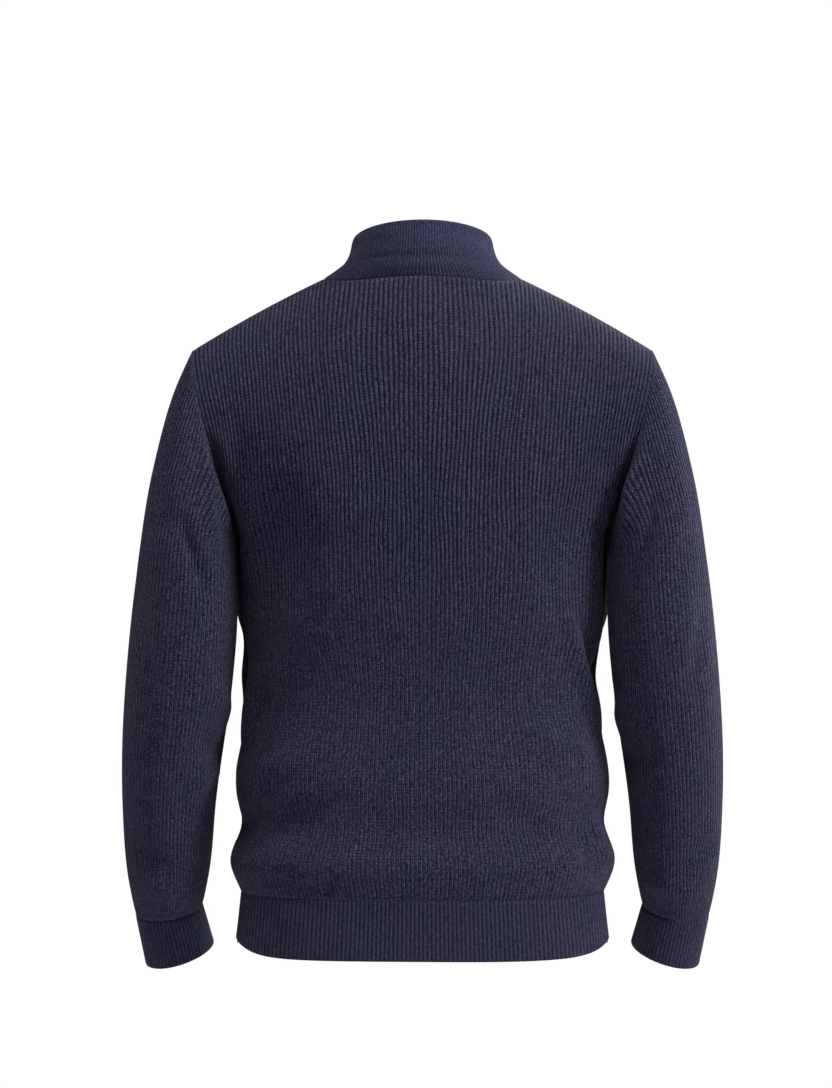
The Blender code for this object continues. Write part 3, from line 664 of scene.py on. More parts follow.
class Nodes:
    """A material's node tree, with its Principled shader."""

    def __init__(self, name: str) -> None:
        """Starts a material that has nodes.

        Args:
            name: The material's name.
        """
        self.material = bpy.data.materials.new(name)
        self.material.use_nodes = True
        self.tree = self.material.node_tree
        self.shader = self.tree.nodes["Principled BSDF"]

    def add(self, kind: str, settings: dict[str, Any] | None = None,
            inputs: dict[str | int, Any] | None = None) -> bpy.types.Node:
        """Adds a node.

        Args:
            kind: The node's type, without the ShaderNode that they all begin with.
            settings: Its settings.
            inputs: Values, or sockets to link, for its inputs.

        Returns:
            The node.
        """
        node = self.tree.nodes.new(f"ShaderNode{kind}")
        for name, setting in (settings or {}).items():
            setattr(node, name, setting)
        for name, given in (inputs or {}).items():
            self.feed(node.inputs[name], given)
        return node

    def feed(self, target: bpy.types.NodeSocket, given: Any) -> None:
        """Links a socket, or sets it to a plain value.

        Args:
            target: The input.
            given: A value, a socket, a number or a colour.
        """
        if isinstance(given, Value):
            given = given.socket
        if isinstance(given, bpy.types.NodeSocket):
            self.tree.links.new(given, target)
        elif isinstance(given, tuple) and len(given) == 3 and len(target.default_value) == 4:
            target.default_value = (*given, 1.0)
        else:
            target.default_value = given

    def math(self, operation: str, *values: Value | float) -> Value:
        """One Math node on numbers and sockets."""
        node = self.add("Math", {"operation": operation}, dict(enumerate(values)))
        return Value(self, node.outputs[0])

    def noise(self, scale: float, detail: float = 2.0, roughness: float = 0.5,
              stretch: Point = (1.0, 1.0, 1.0)) -> Value:
        """Noise on Object coordinates.

        Args:
            scale: Turns per metre.
            detail: Octaves.
            roughness: Weight of the finer ones.
            stretch: Scale along each axis.

        Returns:
            The noise, around 0.5.
        """
        place = self.add("TexCoord").outputs["Object"]
        mapping = self.add("Mapping", inputs={"Vector": place, "Scale": stretch})
        node = self.add("TexNoise", inputs={"Vector": mapping.outputs[0], "Scale": scale,
                                            "Detail": detail, "Roughness": roughness})
        return Value(self, node.outputs["Fac"])

    def white(self, a: Value | float, b: Value | float) -> Value:
        """A random number for each pair of whole numbers.

        Args:
            a: The first number.
            b: The second number.

        Returns:
            A number from 0 to 1.
        """
        pair = self.add("CombineXYZ", inputs={0: a, 1: b})
        return Value(self, self.add("TexWhiteNoise", {"noise_dimensions": "2D"},
                                    {"Vector": pair.outputs[0]}).outputs["Value"])

    def map(self) -> tuple[Value, Value]:
        """The two coordinates of the piece's own knit map.

        Returns:
            The one across the ribs, and the one along them.
        """
        place = self.add("UVMap", {"uv_map": KNIT_MAP}).outputs[0]
        parts = self.add("SeparateXYZ", inputs={0: place})
        return Value(self, parts.outputs[0]), Value(self, parts.outputs[1])

    def mixed(self, share: Value, low: Colour | Any, high: Colour | Any) -> bpy.types.NodeSocket:
        """A colour between two, by a share."""
        node = self.add("Mix", {"data_type": "RGBA"}, {0: share, 6: low, 7: high})
        return node.outputs[2]

    def bump(self, height: Value, distance: float, strength: float = 1.0) -> None:
        """Feeds the shader's normal from a height of 0 to 1.

        Args:
            height: The height.
            distance: What a height of 1 stands for, in metres.
            strength: How strongly it shows.
        """
        given = {"Height": height, "Distance": distance, "Strength": strength}
        node = self.add("Bump", inputs=given)
        self.feed(self.shader.inputs["Normal"], node.outputs[0])

    def dress(self, **inputs: Any) -> bpy.types.Material:
        """Sets the Principled shader's inputs, named with underscores.

        Args:
            inputs: Values, or sockets to link.

        Returns:
            The material.
        """
        for name, given in inputs.items():
            label = name.replace("_", " ").title().replace("Ior", "IOR")
            self.feed(self.shader.inputs[label], given)
        return self.material


@dataclass(frozen=True)
class KnitFinish:
    """Heathered cotton yarn, knitted in ribs, with painted shade in its grooves and between its
    stitches; the map counts ribs across and stitches along.
    """

    name: str
    yarn: Colour
    cool: Colour  # the yarn's other, bluer tone
    # the painted shade's colour, in the grooves and between the stitches
    painted_shade_colour: Colour
    fleck: Colour
    stitch_depth: float
    ribs: tuple[float, float]  # how dark the painted shade in the grooves is, at the hem and at the shoulders
    courses: tuple[float, float]  # how dark the painted shade in the lines between stitches is
    level: tuple[float, float] = (-0.42, -0.20)
    slip: float = 0.8  # how far ribs' stitches stand out of line with each other
    fine: float = 0.0  # how dark the painted shade lines are that halve ribs low on the piece
    knots: float = 0.5  # how much one stitch differs from the next
    heather: float = 0.6
    grain: float = 1.6  # how much the yarn's tone varies within a stitch

    def material(self) -> bpy.types.Material:
        """The knit's material.

        Returns:
            The material.
        """
        nodes = Nodes(self.name)
        across, along = nodes.map()
        place = nodes.add("SeparateXYZ", inputs={0: nodes.add("TexCoord").outputs["Object"]})
        low, high = self.level
        ragged = nodes.noise(9.0, 1.0) * 0.24 - 0.12
        upper = ((Value(nodes, place.outputs[2]) + ragged - low) / (high - low)).clipped()
        groove_shade_share = upper * (self.ribs[1] - self.ribs[0]) + self.ribs[0]
        course_share = upper * (self.courses[1] - self.courses[0]) + self.courses[0]

        beside = (across.fraction() - 0.5).size() * 2  # 0 on a rib's crest, 1 in the groove
        halved = ((across * 2).fraction() - 0.5).size() * 2  # 1 on the crest and in the groove
        uneven = nodes.noise(330.0, 1.0) - 0.5
        rib = nodes.white(across.math("FLOOR"), 0.0)
        row = along - beside * 0.45 + uneven * 0.3 + rib * upper * self.slip
        leg = row.fraction()  # each stitch is a V of two legs
        knot = nodes.white((across * 2).math("FLOOR"), row.math("FLOOR")) - 0.5
        arch = (leg * math.pi).math("SINE")
        dotted = ((row + 0.5).fraction() * math.pi).math("SINE") * 0.7 + 0.42
        groove = ((beside + uneven * 0.36 - 0.34) / 0.50).clipped() ** 1.25
        thin = ((halved + uneven * 0.4 - 0.50) / 0.40).clipped() * (1 - upper) * self.fine
        parting = 1 - (beside * 3.6 + uneven).clipped()
        ply = ((along * 4.0 + beside * 2.2) * (2 * math.pi)).math("SINE") * 0.5 + 0.5
        fuzz = nodes.noise(2400.0, 2.0, 0.6)
        stitch = (arch ** 0.5) * (1 - parting * 0.35) * (ply * 0.14 + 0.86)
        raised = stitch * (1 - groove * 0.5) * (course_share * 0.9 + 0.12)
        height = (1 - groove) * 0.45 + raised + fuzz * 0.12
        nodes.bump(height, self.stitch_depth, 0.85)

        # Painted shade: the colour darkens in the rib grooves (in dots at each stitch high on the
        # piece), in the lines between stitches, in the parting between a stitch's two legs and in
        # the thin lines low on the piece.
        between = (1 - arch) ** 1.3
        painted_shade = (groove * groove_shade_share * (dotted * upper + 1 - upper)
                + between * course_share * (1 - groove * 0.4) + parting * 0.16 + thin)
        blotch = (nodes.noise(24.0, 3.0) * 0.20 + nodes.noise(760.0, 0.0) * self.grain
                  - 0.10 - self.grain / 2)
        # How much of the yarn's tone shows against the painted shade's colour, with random blotches
        # and knots.
        painted_light_and_mottle = (1 - painted_shade.clipped() + blotch + knot * self.knots).clipped()
        cool_share = ((nodes.noise(11.0, 3.0, 0.6) - 0.30) * 2.5).clipped()
        tone = nodes.mixed(cool_share, self.yarn, self.cool)
        specks = ((nodes.noise(820.0, 2.0, 0.75, (1.0, 1.0, 0.6)) - 0.53) * 7.0).clipped()
        # Flecks fade in the grooves: painted shade.
        flecks = specks * self.heather * (1 - groove * 0.75)
        return nodes.dress(
            base_color=nodes.mixed(flecks, nodes.mixed(painted_light_and_mottle, self.painted_shade_colour, tone), self.fleck),
            roughness=0.96, specular_ior_level=0.05, sheen_weight=0.03, sheen_roughness=0.5)


@dataclass(frozen=True)
class MetalFinish:
    """Cast and polished metal with fine rubbing marks."""

    name: str
    metal: Colour
    worn: Colour
    roughness: float

    def material(self) -> bpy.types.Material:
        """The metal's material.

        Returns:
            The material.
        """
        nodes = Nodes(self.name)
        rubbed = nodes.noise(900.0, 3.0, 0.6, (1.0, 1.0, 0.2))
        dull = nodes.noise(160.0, 2.0)
        nodes.bump(rubbed, 0.00004, 0.5)
        return nodes.dress(base_color=nodes.mixed(dull, self.metal, self.worn), metallic=1.0,
                           roughness=(rubbed * 0.18 + (self.roughness - 0.09)).clipped())


@dataclass(frozen=True)
class TapeFinish:
    """Woven polyester tape, with painted shade in its weave's hollows; the map is in metres across
    and along.
    """

    name: str
    yarn: Colour
    # the painted shade's colour, in the weave's hollows
    painted_shade_colour: Colour
    pitch: float = 0.0007

    def material(self) -> bpy.types.Material:
        """The tape's material.

        Returns:
            The material.
        """
        nodes = Nodes(self.name)
        across, along = nodes.map()
        lean = ((across / (self.pitch * 6)).fraction() - 0.5).size() * 2
        twill = ((along / self.pitch + lean * 3.0) * (2 * math.pi)).math("SINE") * 0.5 + 0.5
        warp = ((across / self.pitch) * (2 * math.pi)).math("SINE") * 0.5 + 0.5
        weave = twill * 0.65 + warp * 0.35
        nodes.bump(weave, 0.00018, 0.8)
        # Darker where the weave is low: painted shade, mixed with random tone from the noise.
        tone = (weave * 0.7 + nodes.noise(1200.0) * 0.3).clipped()
        return nodes.dress(base_color=nodes.mixed(tone, self.painted_shade_colour, self.yarn),
                           roughness=0.85, specular_ior_level=0.25)


@dataclass(frozen=True)
class ThreadFinish:
    """Twisted sewing thread or linking yarn, with painted shade where its twist is low."""

    name: str
    yarn: Colour
    # the painted shade's colour, where the twist is low
    painted_shade_colour: Colour
    turns: float

    def material(self) -> bpy.types.Material:
        """The thread's material.

        Returns:
            The material.
        """
        nodes = Nodes(self.name)
        twist = nodes.noise(self.turns, 1.0, 0.4)
        fuzz = nodes.noise(self.turns * 3, 2.0, 0.6)
        nodes.bump(twist * 0.6 + fuzz * 0.4, 0.0002, 0.8)
        # Darker where the twist and fuzz make the surface low: painted shade.
        tone = (twist * 0.8 + fuzz * 0.4).clipped()
        return nodes.dress(base_color=nodes.mixed(tone, self.painted_shade_colour, self.yarn),
                           roughness=0.95, specular_ior_level=0.10)


@dataclass(frozen=True)
class FloorFinish:
    """Plain pale studio floor."""

    name: str = "floor_pale"
    tone: Colour = (0.78, 0.78, 0.79)

    def material(self) -> bpy.types.Material:
        """The floor's material.

        Returns:
            The material.
        """
        nodes = Nodes(self.name)
        cloud = nodes.noise(0.8, 2.0)
        darker = tuple(part * 0.96 for part in self.tone)
        colour = nodes.mixed(cloud, self.tone, darker)
        return nodes.dress(base_color=colour, roughness=0.8)


# ---- shells ----
@dataclass
class RibKnit:
    """How a piece is knitted: its ribs, its stitches and its thickness."""

    depth: float  # from a rib's crest to its groove
    stitch: float  # length of one stitch along a rib
    columns: int = 4  # columns of cells to a rib
    thickness: float = 0.0026
    roundness: float = 0.75  # below 1, ribs are full and grooves narrow

    def profile(self, ribs: Array) -> Array:
        """How far the surface is sunk at each rib coordinate, from 0 on crests to 1 in grooves."""
        return 1 - np.abs(np.sin(math.pi * ribs)) ** self.roundness


class Roll(Enum):
    """What a piece does at one of its edges."""

    NONE = 0
    SEAM = 1  # drawn in towards the stitches of a seam
    FREE = 2  # rolled round, as a finished edge


@dataclass
class KnitShell:
    """A thin closed shell: a ribbed outside, an inside with the ribs' reverse, and its rims."""

    name: str
    base: Array  # nominal outer surface, rows down the piece
    facing: float  # turns the grid's normals outwards
    knit: RibKnit
    closed: bool = False
    heights: Array | float = 0.0  # creases, outwards
    depths: Array | float = 1.0  # share of the rib depth at each point
    rolls: tuple[Roll, Roll, Roll, Roll] = (Roll.SEAM, Roll.SEAM, Roll.SEAM, Roll.SEAM)
    holes: Array | None = None  # cells left out, by row and column
    free_gap: Array | None = None  # distance to a finished edge inside the piece
    normals: Array | None = None  # outward normals, where the grid's own aren't good enough
    seam_reach: float = 0.0032
    seam_draw: float = 0.0008
    side_reach: float = 0.0032  # the same for the piece's first and last columns
    side_draw: float = 0.0008
    plain_reach: float = 0.0011  # how near a seam the ribs stop
    seam_pinch: float = 0.45  # the share of the thickness that a seam takes
    reverse: float = 0.5  # how deep ribs stand on the inside, as a share
    thinnest: float = 0.0004

    def mesh(self) -> bpy.types.Mesh:
        """Builds the shell's mesh, with its map of ribs and stitches.

        Returns:
            The mesh, closed.
        """
        count = self.base.shape[1]
        normals = self.normals
        if normals is None:
            normals = outward(self.base, self.facing, self.closed)
        ribs = np.arange(count + 1) / self.knit.columns
        down = distances(self.base, 0)
        drawn, pinched, plain = self.edges(down)
        sunk = self.knit.depth * self.knit.profile(ribs[:count]) * self.depths * (1 - plain)
        skin = self.base + normals * (self.heights * (1 - plain) - sunk - drawn)[..., None]
        under = (self.knit.thickness - self.reverse * sunk) * (1 - pinched)
        lining = skin - normals * np.maximum(under, self.thinnest)[..., None]
        along = (down[-1:] - down) / self.knit.stitch
        along = np.concatenate((along, along[:, :1]), axis=1)
        return self.filled(skin, lining, ribs, along)

    def edges(self, down: Array) -> tuple[Array, Array, Array]:
        """What the edges do to the points near them.

        Args:
            down: Each point's distance from the first row.

        Returns:
            How far the outside is drawn in, and the shares of the thickness and the ribs that go.
        """
        across = distances(self.base, 1)
        gaps = [down, down[-1:] - down, across, across[:, -1:] - across]
        rolls = list(self.rolls)
        if self.free_gap is not None:
            gaps.append(self.free_gap)
            rolls.append(Roll.FREE)
        drawn, pinched, plain = (np.zeros(self.base.shape[:2]) for _ in range(3))
        for number, (gap, roll) in enumerate(zip(gaps, rolls)):
            if roll is Roll.SEAM:
                reach, draw = ((self.seam_reach, self.seam_draw) if number < 2
                               else (self.side_reach, self.side_draw))
                near = np.exp(-(gap / reach) ** 2)
                drawn = np.maximum(drawn, draw * near)
                pinched = np.maximum(pinched, self.seam_pinch * near)
                plain = np.maximum(plain, np.exp(-(gap / self.plain_reach) ** 2))
            elif roll is Roll.FREE:
                radius = self.knit.thickness / 2
                inside = np.sqrt(np.clip(1 - (1 - np.clip(gap / radius, 0, 1)) ** 2, 0, 1))
                drawn = np.maximum(drawn, radius * (1 - inside))
                pinched = np.maximum(pinched, 1 - inside)
        return drawn, pinched, plain

    def filled(self, skin: Array, lining: Array, ribs: Array, along: Array) -> bpy.types.Mesh:
        """Joins the two surfaces by rims into one closed mesh.

        Args:
            skin: The outside.
            lining: The inside.
            ribs: Each column's rib coordinate.
            along: Each point's stitch coordinate.

        Returns:
            The closed mesh.
        """
        rows, count = skin.shape[:2]
        cells = count if self.closed else count - 1
        keep = np.ones((rows - 1, cells), bool)
        if self.holes is not None:
            keep &= ~self.holes
        row, column = np.nonzero(keep)
        corners = quads(row, column)
        faces = np.stack([r * count + c % count for r, c in corners], axis=1)
        seen = np.stack([np.stack([ribs[c], along[r, c]], axis=1) for r, c in corners], axis=1)
        if self.facing < 0:
            faces, seen = faces[:, ::-1], seen[:, ::-1]
        starts, ends = faces, np.roll(faces, -1, axis=1)
        key = np.minimum(starts, ends).astype(np.int64) * rows * count + np.maximum(starts, ends)
        _, inverse, uses = np.unique(key.ravel(), return_inverse=True, return_counts=True)
        rim = (uses[inverse] == 1).reshape(starts.shape)
        total = rows * count
        rims = np.stack([ends[rim], starts[rim], starts[rim] + total, ends[rim] + total], axis=1)
        seen_next = np.roll(seen, -1, axis=1)
        rim_seen = np.stack([seen_next[rim], seen[rim], seen[rim], seen_next[rim]], axis=1)
        every = np.concatenate((faces, faces[:, ::-1] + total, rims))
        mapped = np.concatenate((seen, seen[:, ::-1], rim_seen))
        used, packed = np.unique(every, return_inverse=True)
        points = np.concatenate((skin.reshape(-1, 3), lining.reshape(-1, 3)))[used]
        return mesh_from(self.name, points, packed.reshape(every.shape), mapped)


def mesh_from(name: str, points: Array, faces: Array, mapped: Array) -> bpy.types.Mesh:
    """A smooth mesh of quads with a knit map.

    Args:
        name: The mesh's name.
        points: Its vertices.
        faces: Four vertices to a face.
        mapped: The map's place of each face's corners.

    Returns:
        The mesh.
    """
    mesh = bpy.data.meshes.new(name)
    mesh.from_pydata(points.tolist(), [], faces.tolist())
    mesh.uv_layers.new(name=KNIT_MAP).data.foreach_set("uv", mapped.astype(np.float32).ravel())
    mesh.shade_smooth()
    mesh.update()
    return mesh


@dataclass
class Wardrobe:
    """Puts finished pieces in the scene, each on its body, in place of the CAD nodes that it stands
    for.
    """

    pieces: list[str] = field(default_factory=list)

    def add(self, name: str, mesh: bpy.types.Mesh, material: bpy.types.Material, slot: str,
            nodes: Sequence[str] = (), body: str = "garment") -> bpy.types.Object:
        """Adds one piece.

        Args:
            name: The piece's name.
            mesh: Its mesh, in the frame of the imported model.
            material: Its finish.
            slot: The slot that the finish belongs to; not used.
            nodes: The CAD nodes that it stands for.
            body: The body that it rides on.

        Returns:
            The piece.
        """
        piece = bpy.data.objects.new(name, mesh)
        bpy.context.scene.collection.objects.link(piece)
        mesh.materials.clear()
        mesh.materials.append(material)
        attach(piece, body)
        if nodes:
            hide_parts(*nodes)
        self.pieces.append(name)
        LOG.info("%s: %d faces", name, len(mesh.polygons))
        return piece


@dataclass(frozen=True)
class Finishes:
    """The sweater's materials, made once."""

    body: bpy.types.Material
    rib: bpy.types.Material
    collar: bpy.types.Material
    tape: bpy.types.Material
    metal: bpy.types.Material
    yarn: bpy.types.Material
    thread: bpy.types.Material

    @classmethod
    def made(cls) -> Finishes:
        """Makes every material.

        Returns:
            The materials, by use.
        """
        body = KnitFinish(
            "knit_navy", (0.0224, 0.0192, 0.0402), (0.0176, 0.0186, 0.0432),
            (0.0017, 0.0014, 0.0095), (0.066, 0.067, 0.096), 0.0010, (0.20, 1.12), (0.52, 0.44),
            fine=1.0, knots=0.62, heather=0.8, grain=2.2)
        rib = KnitFinish(
            "rib_navy", (0.0194, 0.0172, 0.0352), (0.0152, 0.0164, 0.0378),
            (0.0022, 0.0018, 0.0100), (0.052, 0.053, 0.078), 0.0005, (0.66, 0.36), (0.22, 0.24),
            (-0.62, -0.1), knots=0.35, grain=1.2)
        # The collar's yarn is lighter than the body's: painted light, for the brighter light that
        # falls on the collar.
        collar = KnitFinish(
            "collar_navy", (0.0240, 0.0222, 0.0425), (0.0186, 0.0214, 0.0455),
            (0.0026, 0.0022, 0.0110), (0.064, 0.065, 0.095), 0.0004, (0.30, 0.30), (0.24, 0.24),
            knots=0.35, grain=1.3)
        tape = TapeFinish("tape_navy", (0.0125, 0.0125, 0.0250), (0.0040, 0.0040, 0.0085))
        metal = MetalFinish("zip_gunmetal", (0.060, 0.060, 0.066), (0.115, 0.115, 0.120), 0.42)
        # The linking yarn is darker than the knit's yarn: painted shade of the seam grooves that
        # its chains lie in.
        yarn = ThreadFinish("linking_yarn", (0.0140, 0.0118, 0.0290), (0.0040, 0.0033, 0.0100),
                            900.0)
        thread = ThreadFinish("sewing_thread", (0.0300, 0.0300, 0.0520), (0.0090, 0.0090, 0.0190),
                              2400.0)
        every = (body, rib, collar, tape, metal, yarn, thread)
        return cls(*(finish.material() for finish in every))


@dataclass
class Maker:
    """What every builder of pieces has: where they go, and what they are made of."""

    wardrobe: Wardrobe
    finishes: Finishes


# ---- knit pieces ----
@dataclass
class TorsoCloth(Maker):
    """The back, the front and the hem ribs."""

    form: TorsoForm
    knit: RibKnit = field(default_factory=lambda: RibKnit(depth=0.0022, stitch=0.0031))
    hem_knit: RibKnit = field(default_factory=lambda: RibKnit(depth=0.0010, stitch=0.0030))
    ribs: int = 104
    hem_ribs: int = 104
    neck_ribs: float = 20.75  # from the centre line to the shoulder seam's neck end
    upper: int = 44
    lower: int = 64
    hem_rows: int = 12
    slit_half: float = 0.005
    seam_lap: float = 0.0008
    hem_drop: float = 0.0045  # how far the hem's edge hangs below its form, but
    hem_rise: float = 0.012  # rises at the side seams
    swell: float = 0.0075  # of the front, under the arms
    swell_reach: float = 0.030
    side_reach: float = 0.006
    side_draw: float = 0.0006
    seam_draw: float = 0.0002
    worn_flat: float = 0.16  # the share of the rib depth that is left low on the body
    flat_z: float = -0.36
    flat_over: float = 0.16
    shoulder_flat: float = 0.72  # the share that goes beside the shoulder seams
    slit_ease: int = 10  # columns that follow the slit's edge
    flats: dict[Side, tuple[tuple[float, float], float]] = field(default_factory=lambda: {
        Side.BACK: ((0.53, 0.66), 0.30), Side.FRONT: ((0.53, 0.64), 0.29)})
    back_creases: tuple[Crease, ...] = creases(  # by X and Z
        (0.1375, -0.19, 0.157, -0.385, 0.024, -0.0108),
        (0.219, -0.158, 0.19, -0.243, 0.0075, -0.0058),
        (0.1945, -0.215, 0.1915, -0.325, 0.008, -0.0085),
        (0.2, -0.15, 0.172, -0.26, 0.0095, 0.0062), (0.112, -0.225, 0.124, -0.34, 0.014, -0.0027),
        (0.156, -0.18, 0.176, -0.3, 0.011, 0.0047), (-0.142, -0.205, -0.16, -0.352, 0.022, -0.0089),
        (-0.22, -0.158, -0.19, -0.243, 0.0075, -0.005),
        (-0.1945, -0.215, -0.1915, -0.315, 0.008, -0.007),
        (-0.201, -0.158, -0.173, -0.26, 0.0095, 0.005),
        (-0.118, -0.24, -0.13, -0.33, 0.012, -0.0035),
        (0.164, -0.385, 0.1765, -0.465, 0.007, 0.0074),
        (0.152, -0.395, 0.16, -0.455, 0.008, -0.0038),
        (-0.143, -0.33, -0.176, -0.455, 0.008, 0.0084),
        (-0.156, -0.335, -0.186, -0.44, 0.009, -0.0068),
        (-0.168, -0.535, -0.186, -0.582, 0.006, 0.0054),
        (-0.148, -0.54, -0.17, -0.585, 0.008, -0.0046),
        (0.15, -0.52, 0.186, -0.556, 0.008, -0.0057), (0.11, -0.468, 0.184, -0.5, 0.012, 0.0049),
        (-0.09, -0.44, -0.175, -0.482, 0.012, 0.0046), (0.07, -0.505, 0.15, -0.56, 0.015, -0.0046),
        (-0.06, -0.52, -0.13, -0.545, 0.013, -0.0035), (-0.03, -0.565, 0.09, -0.586, 0.012, 0.0035),
        (-0.14, -0.588, -0.02, -0.6, 0.009, -0.003), (0.035, -0.42, 0.065, -0.54, 0.022, -0.003),
        (-0.045, -0.4, -0.02, -0.5, 0.024, 0.0027), (0.02, -0.06, 0.055, -0.23, 0.024, -0.003),
        (-0.055, -0.09, -0.075, -0.27, 0.026, -0.003))
    front_creases: tuple[Crease, ...] = creases(
        (0.17, -0.2, 0.09, -0.14, 0.014, -0.0086), (-0.164, -0.205, -0.085, -0.155, 0.015, -0.0092),
        (0.155, -0.225, 0.115, -0.34, 0.015, -0.0107), (-0.156, -0.23, -0.125, -0.35, 0.016, -0.01),
        (0.164, -0.33, 0.177, -0.45, 0.008, 0.009), (-0.15, -0.36, -0.176, -0.455, 0.008, 0.0092),
        (0.095, -0.425, 0.174, -0.475, 0.012, 0.0071), (-0.09, -0.44, -0.174, -0.49, 0.013, 0.0067),
        (0.05, -0.32, 0.015, -0.44, 0.02, -0.0054), (-0.04, -0.33, -0.025, -0.43, 0.02, -0.0046),
        (-0.135, -0.51, -0.185, -0.56, 0.009, -0.0075), (0.14, -0.52, 0.186, -0.55, 0.009, -0.0071),
        (0.02, -0.575, 0.12, -0.59, 0.011, 0.0046), (-0.12, -0.57, -0.02, -0.592, 0.012, 0.0046),
        (0.015, -0.262, 0.045, -0.3, 0.01, -0.003), (0.145, -0.15, 0.07, -0.25, 0.018, -0.0052),
        (-0.15, -0.29, -0.06, -0.4, 0.018, -0.0048), (0.13, -0.38, 0.06, -0.5, 0.016, 0.0042),
        (-0.013, -0.262, -0.038, -0.305, 0.01, -0.0024))

    def shares(self, side: Side) -> Array:
        """Where a panel's columns stand, from its right side seam (-1) to its left (1).

        Args:
            side: The panel.

        Returns:
            The shares, with the slit in the front.
        """
        cells = self.ribs * self.knit.columns // 2
        neck = int(self.neck_ribs * self.knit.columns)
        start = 0.0
        if side is Side.FRONT:
            start, slit = self.slit_half / self.form.half_girth, self.knit.columns
            cells, neck = cells - slit, neck - slit
        half = np.concatenate((np.linspace(start, self.form.neck_share, neck + 1),
                               np.linspace(self.form.neck_share, 1, cells - neck + 1)[1:]))
        middle = np.linspace(-start, start, 2 * self.knit.columns + 1)[1:-1] if start else []
        return np.concatenate((-half[::-1], middle, half if start else half[1:]))

    def slit(self, grid: Array) -> tuple[Array, Array]:
        """Sets the slit's edges straight.

        Args:
            grid: The front's points, which it moves.

        Returns:
            The cells to leave out, and each point's distance to the slit.
        """
        middle, reach = grid.shape[1] // 2, self.knit.columns
        for row in range(self.upper + 1):
            shift = self.slit_half - grid[row, middle + reach, 0]
            for step in range(self.slit_ease):
                ease = shift * (1 - step / self.slit_ease)
                grid[row, middle + reach + step, 0] += ease
                grid[row, middle - reach - step, 0] -= ease
        holes = np.zeros((grid.shape[0] - 1, grid.shape[1] - 1), bool)
        holes[:self.upper, middle - reach:middle + reach] = True
        beside = np.abs(grid[..., 0]) - self.slit_half
        under = np.clip(grid[self.upper, middle, 2] - grid[..., 2], 0, None)
        return holes, np.hypot(np.clip(beside, 0, None), under)

    def under_arm(self, grid: Array) -> Array:
        """How far the front swells beside the side seams, in front of the sleeves.

        Args:
            grid: The front's points.

        Returns:
            The swell at each.
        """
        across = distances(grid, 1)
        reach = np.minimum(across, across[:, -1:] - across) / self.swell_reach
        level = grid[..., 2]
        tall = ramp(-level, 0.212, 0.03) * ramp(level, -0.366, 0.034)
        return self.swell * reach ** 2 * np.exp(1 - reach ** 2) * eased(tall)

    def build(self) -> None:
        """Builds the two panels and the two hem ribs."""
        for side in Side:
            name, shares = side.name.lower(), self.shares(side)
            grid, normals = self.form.panel(side, shares, self.upper, self.lower)
            holes, free_gap = self.slit(grid) if side is Side.FRONT else (None, None)
            grid[..., 1] -= side.value * self.seam_lap / 2
            folds = self.back_creases if side is Side.BACK else self.front_creases
            heights = crease_heights(grid[..., 0], grid[..., 2], folds)
            if side is Side.FRONT:
                heights += self.under_arm(grid)
            level = ramp(grid[..., 2], self.flat_z, self.flat_over)
            ridge = ramp(distances(grid, 0), 0.001, 0.024)
            outside = ramp(np.abs(shares), self.form.neck_share - 0.02, 0.04)
            soft = 1 - self.shoulder_flat * outside * (1 - eased(ridge))
            depths = (self.worn_flat + (1 - self.worn_flat) * level) * soft
            shell = KnitShell(f"{name}_knit", grid, side.value, self.knit, heights=heights,
                              depths=depths, holes=holes, free_gap=free_gap, normals=normals,
                              side_reach=self.side_reach, side_draw=self.side_draw,
                              seam_draw=self.seam_draw)
            piece = self.wardrobe.add(shell.name, shell.mesh(), self.finishes.body, "body_knit",
                                      [name])
            self.build_hem(side, name)

    def build_hem(self, side: Side, name: str) -> None:
        """Builds the hem rib under one panel.

        Args:
            side: The panel.
            name: The panel's name.
        """
        shares = self.form.settled(self.hem_ribs * self.hem_knit.columns + 1)
        steps = edge_rows(self.hem_rows, False, True)
        grid = self.form.between(self.form.hem, side, shares, steps)
        out = np.abs(grid[0, :, 0]) / self.form.hem[0].half_width
        wave = 0.0006 * np.sin(shares * 5.0 + side.value) * (1 - out ** 4)
        grid[..., 2] += steps[:, None] ** 2 * (wave - self.hem_drop + self.hem_rise * out ** 12)
        grid[0, :, 2] += self.seam_lap
        grid[..., 1] -= side.value * self.seam_lap / 2
        shell = KnitShell(f"hem_{name}_rib", grid, side.value, self.hem_knit,
                          rolls=(Roll.SEAM, Roll.FREE, Roll.SEAM, Roll.SEAM),
                          seam_draw=self.seam_draw)
        piece = self.wardrobe.add(shell.name, shell.mesh(), self.finishes.rib, "rib_knit",
                                  [f"hem_{name}"])


